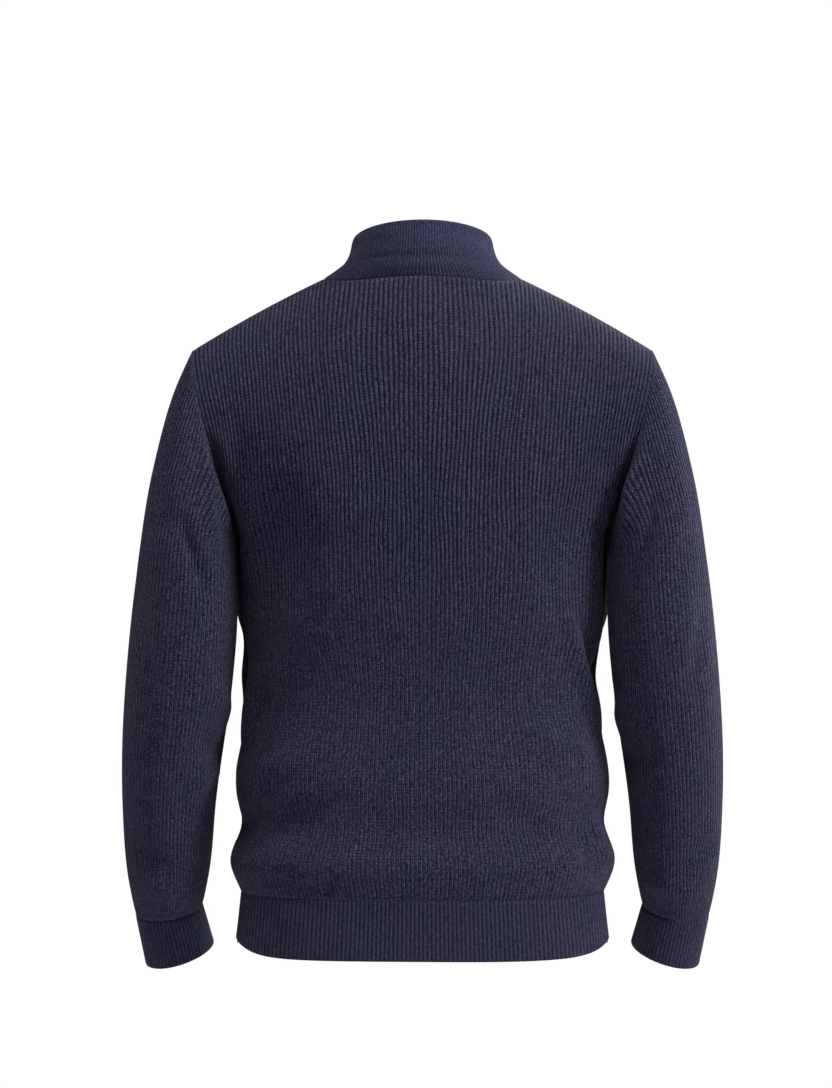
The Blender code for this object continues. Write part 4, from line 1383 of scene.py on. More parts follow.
@dataclass
class CollarCloth(Maker):
    """The stand collar."""

    torso: TorsoForm
    form: CollarForm = field(default_factory=CollarForm)
    knit: RibKnit = field(
        default_factory=lambda: RibKnit(depth=0.0007, stitch=0.0024, thickness=0.0030))
    quarter_ribs: int = 40
    rows: int = 24
    lap: float = 0.0012
    folds: tuple[Crease, ...] = creases(  # in shares round the collar and down it
        (0.25, 0.66, 0.75, 0.67, 0.045, -0.0012), (0.05, 0.62, 0.22, 0.50, 0.07, -0.0014),
        (0.80, 0.52, 0.96, 0.64, 0.07, -0.0012), (0.40, 0.84, 0.64, 0.82, 0.06, 0.0010),
        (0.55, 0.20, 0.72, 0.34, 0.09, -0.0010), (0.30, 0.30, 0.44, 0.18, 0.09, 0.0008))

    def grid(self) -> Array:
        """The collar's grid, its lower edge lapped into the neckline.

        Returns:
            Points, by row and column.
        """
        grid = self.form.grid(self.torso, self.quarter_ribs * self.knit.columns,
                              edge_rows(self.rows, True, False))
        grid[-1] -= self.lap * unit(grid[-2] - grid[-1])
        return grid

    def build(self) -> None:
        """Builds the collar."""
        grid = self.grid()
        columns = np.linspace(0, 1, grid.shape[1])
        rows = np.linspace(0, 1, grid.shape[0])
        across, up = np.meshgrid(columns, rows)
        shell = KnitShell("collar_rib", grid, -1, self.knit,
                          heights=crease_heights(across, up, self.folds),
                          rolls=(Roll.FREE, Roll.SEAM, Roll.FREE, Roll.FREE))
        piece = self.wardrobe.add(shell.name, shell.mesh(), self.finishes.collar, "rib_knit",
                                  ["collar"])


@dataclass
class SleeveCloth(Maker):
    """The sleeves and their cuffs."""

    torso: TorsoForm
    form: SleeveForm = field(default_factory=SleeveForm)
    knit: RibKnit = field(default_factory=lambda: RibKnit(depth=0.0018, stitch=0.0031))
    cuff_knit: RibKnit = field(default_factory=lambda: RibKnit(depth=0.0006, stitch=0.0030))
    ribs: int = 76
    cuff_ribs: int = 60
    rows: int = 104
    cuff_rows: int = 12
    radius: float = 0.062  # turns a sleeve's angle into a distance round it
    lap: float = 0.0010  # into the armhole, and of the cuff into the sleeve
    seam_reach: float = 0.006
    seam_draw: float = 0.0006
    cuff_draw: float = 0.0003
    flat_z: float = -0.34  # the ribs are flattened below this height
    flat_over: float = 0.22
    folds: dict[Hand, tuple[Crease, ...]] = field(default_factory=lambda: {  # round it and down it
        Hand.LEFT: creases(
            (0.1, 0.0, 0.176, 0.002, 0.008, -0.0042), (0.092, 0.022, 0.166, 0.03, 0.0105, 0.0062),
            (0.088, 0.085, 0.132, 0.155, 0.013, -0.0078), (0.03, 0.085, 0.11, 0.12, 0.014, -0.003),
            (0.09, 0.01, 0.15, 0.09, 0.01, 0.0059), (0.125, 0.24, 0.2, 0.29, 0.012, 0.0044),
            (0.11, 0.3, 0.205, 0.325, 0.014, -0.0052), (0.12, 0.35, 0.19, 0.338, 0.009, 0.0043),
            (-0.19, 0.255, -0.08, 0.305, 0.011, -0.0084), (-0.17, 0.3, -0.08, 0.345, 0.01, 0.0054),
            (-0.16, 0.34, -0.07, 0.372, 0.011, -0.0062), (0.02, 0.15, 0.07, 0.25, 0.016, -0.0041),
            (0.06, 0.44, 0.15, 0.47, 0.011, 0.0049), (0.01, 0.5, 0.12, 0.492, 0.009, -0.0049),
            (0.03, 0.4, 0.11, 0.43, 0.012, -0.0046), (-0.13, 0.48, -0.02, 0.5, 0.01, -0.0049),
            (-0.11, 0.44, -0.03, 0.465, 0.011, 0.0041), (-0.11, 0.06, -0.05, 0.17, 0.013, -0.0081)),
        Hand.RIGHT: creases(
            (0.096, 0.0, 0.172, 0.002, 0.008, -0.0038), (0.088, 0.024, 0.16, 0.034, 0.0105, 0.0054),
            (0.08, 0.04, 0.14, 0.13, 0.016, -0.0056), (0.04, 0.09, 0.12, 0.135, 0.014, 0.0026),
            (0.1, 0.005, 0.16, 0.08, 0.01, 0.0054), (0.13, 0.25, 0.205, 0.3, 0.012, 0.0042),
            (0.11, 0.31, 0.205, 0.335, 0.014, -0.005), (0.03, 0.17, 0.08, 0.26, 0.015, -0.0038),
            (-0.19, 0.245, -0.09, 0.295, 0.011, -0.0081), (-0.16, 0.29, -0.07, 0.33, 0.01, 0.0051),
            (-0.15, 0.335, -0.06, 0.36, 0.01, -0.0062), (0.05, 0.455, 0.16, 0.45, 0.01, 0.0049),
            (0.02, 0.505, 0.11, 0.5, 0.008, -0.0051), (0.03, 0.41, 0.12, 0.424, 0.011, -0.0043),
            (-0.11, 0.47, -0.03, 0.495, 0.011, -0.0046), (-0.12, 0.43, -0.04, 0.452, 0.011, 0.0038),
            (-0.11, 0.055, -0.06, 0.165, 0.013, -0.0081))})

    def build(self) -> None:
        """Builds both sleeves and both cuffs."""
        for hand in Hand:
            name, count = hand.name.lower(), self.ribs * self.knit.columns
            grid = self.form.grid(self.torso, hand, count, np.linspace(0, 1, self.rows + 1))
            grid[0] -= self.lap * unit(grid[1] - grid[0])
            turns = np.arange(count) * 2 * math.pi / count
            around = np.where(turns > math.pi, turns - 2 * math.pi, turns) * self.radius
            along = distances(grid.mean(axis=1)[:, None], 0)
            places = (np.broadcast_to(part, grid.shape[:2]) for part in (around, along))
            level = ramp(grid[..., 2], self.flat_z, self.flat_over)
            shell = KnitShell(f"sleeve_{name}_knit", grid, -hand.value, self.knit, closed=True,
                              heights=crease_heights(*places, self.folds[hand]),
                              depths=0.20 + 0.60 * level,
                              rolls=(Roll.SEAM, Roll.SEAM, Roll.NONE, Roll.NONE),
                              seam_reach=self.seam_reach, seam_draw=self.seam_draw)
            piece = self.wardrobe.add(shell.name, shell.mesh(), self.finishes.body, "body_knit",
                                      [f"sleeve_{name}"])
            self.build_cuff(hand, name)

    def build_cuff(self, hand: Hand, name: str) -> None:
        """Builds one cuff.

        Args:
            hand: The sleeve.
            name: The sleeve's name.
        """
        steps = edge_rows(self.cuff_rows, False, True)
        grid = self.form.cuff_grid(hand, self.cuff_ribs * self.cuff_knit.columns, steps)
        grid[0, :, 2] += self.lap
        shell = KnitShell(f"cuff_{name}_rib", grid, -hand.value, self.cuff_knit, closed=True,
                          rolls=(Roll.SEAM, Roll.FREE, Roll.NONE, Roll.NONE),
                          seam_draw=self.cuff_draw)
        piece = self.wardrobe.add(shell.name, shell.mesh(), self.finishes.rib, "rib_knit",
                                  [f"cuff_{name}"])


# ---- seams and stitching ----
def tube_mesh(name: str, path: Array, facing: Array, radii: Array, sides: int = 8,
              closed: bool = False) -> bpy.types.Mesh:
    """A closed tube along a path, with its map turning round it and running along it.

    Args:
        name: The mesh's name.
        path: Points along the tube's middle.
        facing: A direction across the path at each point.
        radii: The tube's radius at each point.
        sides: Points round it.
        closed: Whether the path closes on itself.

    Returns:
        The mesh.
    """
    if closed:
        along = unit(np.roll(path, -1, axis=0) - np.roll(path, 1, axis=0))
    else:
        along = unit(np.gradient(path, axis=0))
    across = unit(np.cross(along, facing))
    out = np.cross(across, along)
    turns = np.arange(sides) * 2 * math.pi / sides
    cosine, sine = np.cos(turns)[None, :, None], np.sin(turns)[None, :, None]
    ring = cosine * across[:, None] + sine * out[:, None]
    points = (path[:, None] + ring * radii[:, None, None]).reshape(-1, 3)
    count = len(path)
    lengths = lengths_along(path)
    rows = np.arange(count if closed else count - 1)
    row, side = (part.ravel() for part in np.meshgrid(rows, np.arange(sides), indexing="ij"))
    corners = [(row, side), (row + 1, side), (row + 1, side + 1), (row, side + 1)]
    faces = np.stack([(r % count) * sides + c % sides for r, c in corners], axis=1)
    reach = np.append(lengths, lengths[-1] + lengths[1])
    mapped = np.stack([np.stack([c / sides, reach[r]], axis=1) for r, c in corners], axis=1)
    mesh = mesh_from(name, points, faces, mapped)
    if not closed:
        close_up(mesh, sides)
    return mesh


def close_up(mesh: bpy.types.Mesh, sides: int = 0) -> None:
    """Fills a mesh's open ends and turns its faces outwards.

    Args:
        mesh: The mesh, which it changes.
        sides: The most sides that an end has.
    """
    shape = bmesh.new()
    shape.from_mesh(mesh)
    ends = [edge for edge in shape.edges if edge.is_boundary]
    if ends:
        bmesh.ops.holes_fill(shape, edges=ends, sides=sides)
    bmesh.ops.recalc_face_normals(shape, faces=shape.faces)
    shape.to_mesh(mesh)
    shape.free()


def repeated(mesh: bpy.types.Mesh, places: Sequence[Matrix], name: str) -> bpy.types.Mesh:
    """One mesh that holds a copy of a small modelled piece at each place.

    Args:
        mesh: The piece, modelled once; it is removed afterwards.
        places: Where each copy goes.
        name: The new mesh's name.

    Returns:
        The joined mesh.
    """
    shape = bmesh.new()
    for place in places:
        known = len(shape.verts)
        shape.from_mesh(mesh)
        shape.verts.ensure_lookup_table()
        bmesh.ops.transform(shape, matrix=place, verts=shape.verts[known:])
    joined = bpy.data.meshes.new(name)
    shape.to_mesh(joined)
    shape.free()
    bpy.data.meshes.remove(mesh)
    joined.shade_smooth()
    joined.set_sharp_from_angle(angle=math.radians(40))
    return joined


@dataclass
class Linking(Maker):
    """The chains of stitches that join the pieces, lying in the grooves between them."""

    torso: TorsoForm
    sleeves: SleeveForm
    pitch: float = 0.0036
    radius: float = 0.00085
    sink: float = 0.0016
    neck_sink: float = 0.0017
    rib_sink: float = 0.0012  # at the hem and the cuffs
    armhole_sink: float = 0.0022
    fold_sink: float = 0.0036  # further, where the armhole is folded in
    fold_z: float = -0.200
    fold_reach: float = 0.050

    def chain(self, name: str, path: Array, facing: Array, closed: bool = False,
              sink: float | None = None) -> None:
        """Lays one chain in a groove.

        Args:
            name: The chain's name.
            path: Points of the seam, close together.
            facing: The garment's outward direction at each.
            closed: Whether the seam closes on itself.
            sink: How deep it lies, where that isn't the usual depth.
        """
        length = float(np.linalg.norm(np.diff(path, axis=0), axis=1).sum())
        count = int(length / (self.pitch / 4))
        shares = np.linspace(0, 1, count, endpoint=not closed)
        line = resample(path, shares)
        out = unit(resample(path, shares, facing))
        knots = 0.62 + 0.38 * np.abs(np.sin(np.arange(count) * math.pi / 4))
        line = line - out * (self.sink if sink is None else sink)
        mesh = tube_mesh(name, line, out, self.radius * knots, sides=6, closed=closed)
        self.wardrobe.add(name, mesh, self.finishes.yarn, "rib_knit")

    def build(self) -> None:
        """Lays the chains of the neck, shoulders, armholes, sides, hem and cuffs."""
        form = self.torso
        even = np.linspace(0, 1, 181)
        turns = np.linspace(0, 2 * math.pi, 241)
        along_shoulder, level = np.linspace(0.01, 0.995, 90), np.zeros(90)
        for hand in Hand:
            name, edge = hand.name.lower(), np.array([float(hand.value)])
            shares = edge * (form.neck_share + (1 - form.neck_share) * along_shoulder)
            facing = unit(sum(form.yoke_normals(side, shares, level) for side in Side))
            self.chain(f"shoulder_chain_{name}", form.ridge(shares), facing)

            seam = self.sleeves.armhole(form, hand, turns)
            along, outside = unit(np.gradient(seam, axis=0)), unit(seam - seam.mean(axis=0))
            outside = unit(outside - along * (outside * along).sum(axis=1, keepdims=True))
            folded = np.exp(-((seam[:, 2:] - self.fold_z) / self.fold_reach) ** 2)
            seam = seam - outside * self.fold_sink * folded
            self.chain(f"armhole_chain_{name}", seam[:-1], outside[:-1], closed=True,
                       sink=self.armhole_sink)

            rows = (*form.rows, form.hem[1])
            ends = np.array([form.girth(row, Side.BACK, edge)[0] for row in rows])
            side = smooth_through(-ends[:, 2], ends, np.linspace(0.252, 0.664, 140))
            self.chain(f"side_chain_{name}", side, np.tile((edge[0], 0.0, 0.0), (140, 1)))

            cuff = self.sleeves.ring(self.sleeves.cuff[0], hand, turns)
            outside = unit(cuff - cuff.mean(axis=0))
            self.chain(f"cuff_chain_{name}", cuff[:-1], outside[:-1], closed=True,
                       sink=self.rib_sink)
        turn = np.linspace(-1, 1, 241)
        ring = np.concatenate((form.girth(form.hem[0], Side.BACK, turn),
                               form.girth(form.hem[0], Side.FRONT, -turn)[1:-1]))
        self.chain("hem_chain", ring, unit(ring * (1, 1, 0)), closed=True, sink=self.rib_sink)
        front = form.neckline(Side.FRONT, 0.06 + 0.94 * np.sin(even * math.pi / 2))
        back = form.neckline(Side.BACK, np.sin(even * math.pi / 2))
        neck = mirrored_round(front, back)
        facing = unit(unit(neck * (1, 1, 0)) + (0.0, 0.0, 0.6))
        self.chain("neck_chain", neck, facing, sink=self.neck_sink)


# ---- the zip ----
class Bench:
    """Models hard pieces from primitives with Blender's own edit tools."""

    @staticmethod
    def block(name: str, low: Point, high: Point) -> bpy.types.Object:
        """A block between two corners.

        Args:
            name: The block's name.
            low: Its lowest corner.
            high: Its highest corner.

        Returns:
            The block, its place and size in its mesh.
        """
        bpy.ops.object.select_all(action="DESELECT")
        middle = (Vector(low) + Vector(high)) / 2
        bpy.ops.mesh.primitive_cube_add(size=1, location=middle)
        block = bpy.context.object
        block.name = name
        block.scale = Vector(high) - Vector(low)
        bpy.ops.object.transform_apply(location=True, rotation=True, scale=True)
        return block

    @staticmethod
    def edit(piece: bpy.types.Object, kind: str, choose: Callable[[Any], bool]) -> None:
        """Opens a piece in edit mode with some of its faces or edges selected.

        Args:
            piece: The piece.
            kind: FACE or EDGE.
            choose: Says of each face, or of each edge's two ends, whether it is selected.
        """
        bpy.context.view_layer.objects.active = piece
        bpy.ops.object.mode_set(mode="EDIT")
        bpy.ops.mesh.select_mode(type=kind)
        bpy.ops.mesh.select_all(action="DESELECT")
        shape = bmesh.from_edit_mesh(piece.data)
        for part in shape.faces if kind == "FACE" else shape.edges:
            part.select_set(bool(choose(part)))
        bmesh.update_edit_mesh(piece.data)

    @staticmethod
    def done() -> None:
        """Leaves edit mode."""
        bpy.ops.object.mode_set(mode="OBJECT")

    @classmethod
    def round_corners(cls, piece: bpy.types.Object, axis: int, width: float, segments: int) -> None:
        """Bevels the edges that run along one axis.

        Args:
            piece: The piece.
            axis: 0, 1 or 2.
            width: The bevel.
            segments: Its steps.
        """
        def along_axis(edge: Any) -> bool:
            """Whether an edge runs along the axis."""
            run = edge.verts[1].co - edge.verts[0].co
            return abs(run[axis]) > 0.98 * run.length
        cls.edit(piece, "EDGE", along_axis)
        bpy.ops.mesh.bevel(offset=width, segments=segments, profile=0.5, affect="EDGES")
        cls.done()

    @classmethod
    def rounded(cls, name: str, low: Point, high: Point, axis: int, width: float,
                segments: int) -> bpy.types.Object:
        """A block whose edges along one axis are bevelled.

        Args:
            name: The block's name.
            low: Its lowest corner.
            high: Its highest corner.
            axis: 0, 1 or 2.
            width: The bevel.
            segments: Its steps.

        Returns:
            The block.
        """
        piece = cls.block(name, low, high)
        cls.round_corners(piece, axis, width, segments)
        return piece

    @staticmethod
    def apply(piece: bpy.types.Object, kind: str, **settings: Any) -> None:
        """Adds a modifier and applies it.

        Args:
            piece: The piece.
            kind: The kind of modifier.
            settings: Its settings.
        """
        bpy.ops.object.select_all(action="DESELECT")
        piece.select_set(True)
        bpy.context.view_layer.objects.active = piece
        modifier = piece.modifiers.new(kind.lower(), kind)
        for name, setting in settings.items():
            setattr(modifier, name, setting)
        bpy.ops.object.modifier_apply(modifier=modifier.name)

    @classmethod
    def cut(cls, piece: bpy.types.Object, other: bpy.types.Object, operation: str) -> None:
        """Joins a piece with another, or cuts the other out of it.

        Args:
            piece: The piece that stays.
            other: The other, which is used up.
            operation: UNION or DIFFERENCE.
        """
        cls.apply(piece, "BOOLEAN", operation=operation, object=other, solver="EXACT")
        spare = other.data
        bpy.data.objects.remove(other)
        bpy.data.meshes.remove(spare)

    @classmethod
    def soften(cls, piece: bpy.types.Object, width: float, segments: int = 2) -> None:
        """Rounds every sharp edge."""
        cls.apply(piece, "BEVEL", width=width, segments=segments, limit_method="ANGLE",
                  angle_limit=math.radians(35.0), harden_normals=False)

    @staticmethod
    def taken(piece: bpy.types.Object, place: Matrix | None = None) -> bpy.types.Mesh:
        """The piece's mesh, put in place, without its object.

        Args:
            piece: The piece.
            place: Where it goes.

        Returns:
            The mesh.
        """
        mesh = piece.data
        bpy.data.objects.remove(piece)
        if place is not None:
            mesh.transform(place)
        mesh.shade_smooth()
        mesh.set_sharp_from_angle(angle=math.radians(38))
        return mesh


class ZipLine:
    """The front's centre line, from the collar's top edge to the foot of the slit."""

    def __init__(self, torso: TorsoForm, collar: CollarForm) -> None:
        """Follows the middle of the collar and of the slit.

        Args:
            torso: The torso's form.
            collar: The collar's form.
        """
        steps = np.linspace(0, 1, 49)
        upper = collar.grid(torso, 8, steps)[:, 0]
        start = collar.slit_half / torso.half_girth
        shares = np.full(49, start)
        first = torso.neck_cut[Side.FRONT]
        lower = torso.yoke(Side.FRONT, shares, first + (1 - first) * steps)
        path = np.concatenate((upper[:-1], lower)) * (0, 1, 1)
        run = np.gradient(path, axis=0)
        normals = unit(np.stack((np.zeros(len(path)), run[:, 2], -run[:, 1]), axis=1))
        self.path, self.normals, self.at = path, normals, lengths_along(path)
        self.length = float(self.at[-1])

    def sample(self, wanted: Array) -> tuple[Array, Array]:
        """Points and outward normals on the line.

        Args:
            wanted: Distances from the collar's top edge.

        Returns:
            The points and the normals.
        """
        points, normals = (read_between(wanted, self.at, values)
                           for values in (self.path, self.normals))
        return points, unit(normals)

    def place(self, distance: float, turned: bool = False) -> Matrix:
        """A place on the line.

        Args:
            distance: From the collar's top edge.
            turned: Whether it is the mirror place.

        Returns:
            The place: Y runs down the line and Z outwards.
        """
        point, normal = (Vector(values[0]) for values in self.sample(np.array([distance])))
        across = Vector((1, 0, 0)) if turned else Vector((-1, 0, 0))
        down = normal.cross(across)
        return Matrix.Translation(point) @ Matrix((across, down, normal)).transposed().to_4x4()


@dataclass
class Zip(Maker):
    """The tapes, the two rows of teeth, the stop, the slider and the pull tab."""

    line: ZipLine
    depth: float = 0.0030  # from the cloth's face to the teeth's face
    thickness: float = 0.0024
    pitch: float = 0.0026
    drop: float = 0.0010  # the slider's top edge below the collar's
    slider_length: float = 0.0100
    slider_half: float = 0.0042
    plate: float = 0.0011
    play: float = 0.0003  # between the slider's plates and the teeth
    bail_half: float = 0.0036
    bail_rise: float = 0.0025
    bail_metal: float = 0.0010
    tab_half: float = 0.0034
    tab_length: float = 0.0253  # from the bail to the free end
    tab_thick: float = 0.0014
    well_half: float = 0.0020
    stop_length: float = 0.0035
    stop_clearance: float = 0.0010
    tape_inner: float = 0.0006
    tape_outer: float = 0.0125
    tape_thickness: float = 0.0008

    def build(self) -> None:
        """Builds every piece of the zip."""
        for hand in Hand:
            self.build_tape(hand)
            self.build_teeth(hand)
        self.build_stop()
        self.build_slider()
        self.build_tab()

    @property
    def sunk(self) -> Matrix:
        """The way from the line to the middle of the teeth."""
        return Matrix.Translation((0.0, 0.0, -(self.depth + self.thickness / 2)))

    @property
    def plate_top(self) -> float:
        """The height of the slider's outer face on the line."""
        return -(self.depth - self.play - self.plate)

    def metal(self, name: str, mesh: bpy.types.Mesh, node: str, body: str = "garment") -> None:
        """Adds one metal piece in the place of its CAD node."""
        self.wardrobe.add(name, mesh, self.finishes.metal, "zip_metal", [node], body=body)

    def build_tape(self, hand: Hand) -> None:
        """Builds one tape, with the thick cord that its teeth grip along its inner edge.

        Args:
            hand: Which side of the slit.
        """
        steps = np.linspace(0.0012, self.line.length - 0.0002, 90)
        points, normals = self.line.sample(steps)
        across = np.array((self.tape_inner, 0.0009, 0.0014, 0.0019, 0.0024, 0.0036, 0.0060, 0.0090,
                           self.tape_outer - 0.0003, self.tape_outer))
        swell = np.array((0.0, 0.0006, 0.0008, 0.0006, 0.0, 0.0, 0.0, 0.0, 0.0, -0.0003))
        sink = self.depth + self.thickness / 2 - self.tape_thickness / 2
        bow = 0.10 * across ** 2 / self.tape_outer
        levels = -(sink + bow)[None, :] + swell[None, :]
        face = points[:, None] + normals[:, None] * levels[..., None]
        face[..., 0] += hand.value * across
        thick = self.tape_thickness + np.clip(2 * swell, -0.0004, None)
        rear = face - normals[:, None] * thick[None, :, None]
        rows, count = face.shape[:2]
        around, lines = 2 * count, np.concatenate((face, rear[:, ::-1]), axis=1)
        cells = np.meshgrid(np.arange(rows - 1), np.arange(around), indexing="ij")
        corners = quads(*(part.ravel() for part in cells))
        faces = np.stack([r * around + c % around for r, c in corners], axis=1)
        places = np.append(np.concatenate((across, across[::-1])), across[0])
        mapped = np.stack([np.stack([places[c], steps[r]], axis=1) for r, c in corners], axis=1)
        caps = [[end * around + c for c in (k, k + 1, around - 2 - k, around - 1 - k)]
                for end in (0, rows - 1) for k in range(count - 1)]
        faces = np.concatenate((faces, np.array(caps)))
        mapped = np.concatenate((mapped, np.zeros((len(caps), 4, 2))))
        name = hand.name.lower()
        mesh = mesh_from(f"tape_{name}", lines.reshape(-1, 3), faces, mapped)
        close_up(mesh)
        piece = self.wardrobe.add(mesh.name, mesh, self.finishes.tape, "zip_tape",
                                  [f"zip_tape_{name}"])
        self.tape_outer - self.tape_inner

    def tooth(self) -> bpy.types.Mesh:
        """One tooth: a block round the tape's cord, drawn out into a narrower rounded head.

        Returns:
            Its mesh.
        """
        half, wide = self.thickness / 2, 0.3 * self.pitch
        block = Bench.block("tooth", (0.0002, -wide, -half), (0.0024, wide, half))
        Bench.edit(block, "FACE", lambda face: face.normal.x < -0.9)
        bpy.ops.mesh.extrude_region_move(TRANSFORM_OT_translate={"value": (-0.0006, 0, 0)})
        bpy.ops.transform.resize(value=(1.0, 0.66, 0.80))
        bpy.ops.mesh.extrude_region_move(TRANSFORM_OT_translate={"value": (-0.0007, 0, 0)})
        bpy.ops.transform.resize(value=(1.0, 0.92, 0.90))
        Bench.done()
        Bench.soften(block, 0.00016, 1)
        return Bench.taken(block)

    def build_teeth(self, hand: Hand) -> None:
        """Builds one row of teeth, each row standing half a pitch off the other.

        Args:
            hand: Which side of the slit.
        """
        start = self.drop + self.slider_length * 0.62
        if hand is Hand.RIGHT:
            start += 0.5 * self.pitch
        stop = self.line.length - self.stop_clearance - self.stop_length - 0.0008
        places = [self.line.place(float(distance), turned=hand is Hand.LEFT) @ self.sunk
                  for distance in np.arange(start, stop, self.pitch)]
        mesh = repeated(self.tooth(), places, f"teeth_{hand.name.lower()}")
        self.metal(mesh.name, mesh, "zip_chain")

    def build_stop(self) -> None:
        """Builds the bottom stop, a folded clip over both cords."""
        wide, half, high = 0.0027, self.stop_length / 2, self.thickness / 2 + 0.0002
        clip = Bench.rounded("zip_clip", (-wide, -half, -high), (wide, half, high), 1, 0.0008, 3)
        Bench.edit(clip, "FACE", lambda face: face.normal.z > 0.98 and face.calc_area() > 5e-6)
        bpy.ops.mesh.inset(thickness=0.0006, depth=0.0)
        bpy.ops.mesh.extrude_region_move(TRANSFORM_OT_translate={"value": (0, 0, -0.00025)})
        Bench.done()
        Bench.soften(clip, 0.00014)
        place = self.line.place(self.line.length - self.stop_clearance - half)
        self.metal("zip_clip", Bench.taken(clip, place @ self.sunk), "zip_stop")

    def shield(self, name: str, low: float, high: float) -> bpy.types.Object:
        """A plate of the slider, wide at its two mouths and drawn in below them.

        Args:
            name: The plate's name.
            low: Its lower face.
            high: Its upper face.

        Returns:
            The plate.
        """
        half, length = self.slider_half, self.slider_length / 2
        plate = Bench.block(name, (-half, -length, low), (half, length, high))
        Bench.edit(plate, "FACE", lambda face: face.normal.y > 0.9)
        bpy.ops.transform.resize(value=(0.74, 1.0, 1.0))
        Bench.done()
        Bench.round_corners(plate, 2, 0.0018, 4)
        return plate

    def build_slider(self) -> None:
        """Builds the slider: two plates, the post between them and the bail for the tab."""
        top, half, bail = self.plate_top, self.slider_length / 2, self.bail_half
        rear = -(self.depth + self.thickness + self.play)
        slider = self.shield("zip_body", top - self.plate, top)
        Bench.cut(slider, self.shield("rear_plate", rear - self.plate, rear), "UNION")
        post = Bench.block("post", (-0.0013, -half + 0.0003, rear - self.plate / 2),
                           (0.0013, -half + 0.0034, top - 0.0004))
        Bench.cut(slider, post, "UNION")
        for side in (-1, 1):
            low, high = sorted((side * self.slider_half * 0.97, side * (self.slider_half - 0.0008)))
            wall = Bench.block("flange", (low, -half + 0.0024, top - self.plate - 0.0006),
                               (high, -0.0006, top - 0.0003))
            Bench.cut(slider, wall, "UNION")
        arch = Bench.rounded("arch", (-0.0010, -bail, top - 0.0004),
                             (0.0010, bail, top + self.bail_rise + self.bail_metal), 0, 0.0012, 4)
        window = Bench.rounded("window", (-0.002, -bail + self.bail_metal, top - 0.0002),
                               (0.002, bail - self.bail_metal, top + self.bail_rise), 0, 0.0005, 3)
        Bench.cut(arch, window, "DIFFERENCE")
        Bench.cut(slider, arch, "UNION")
        Bench.soften(slider, 0.00016)
        place = self.line.place(self.drop + half)
        self.metal("zip_body", Bench.taken(slider, place), "zip_slider")

    def build_tab(self) -> None:
        """Builds the pull tab, with its eye round the bail and a sunk panel on each face."""
        wide, thick, well = self.tab_half, self.tab_thick / 2, self.well_half
        tab = Bench.block("zip_tab", (-wide, -thick, -thick), (wide, self.tab_length, thick))
        Bench.edit(tab, "FACE", lambda face: face.normal.y < -0.9)
        bpy.ops.transform.resize(value=(0.80, 1.0, 1.0))
        Bench.done()
        Bench.round_corners(tab, 2, 0.0019, 5)
        Bench.edit(tab, "FACE", lambda face: abs(face.normal.z) > 0.98)
        bpy.ops.mesh.inset(thickness=0.0009, depth=0.0)
        Bench.done()
        levels = (("well", 0.00045, 0.0020), ("rear_well", -0.0020, -0.00045))
        cutters = [Bench.rounded(name, (-well, 0.0090, low), (well, 0.0232, high), 2, 0.0017, 6)
                   for name, low, high in levels]
        cutters.append(Bench.rounded("eye", (-0.0017, 0.0007, -0.002), (0.0017, 0.0061, 0.002),
                                     2, 0.0007, 4))
        for cutter in cutters:
            Bench.cut(tab, cutter, "DIFFERENCE")
        Bench.soften(tab, 0.00018)
        place = self.line.place(self.drop + self.slider_length / 2)
        hinge = Matrix.Translation((0.0, 0.0, self.plate_top + self.bail_rise / 2))
        self.metal("zip_tab", Bench.taken(tab, place @ hinge), "zip_pull_tab", body="pull_tab")


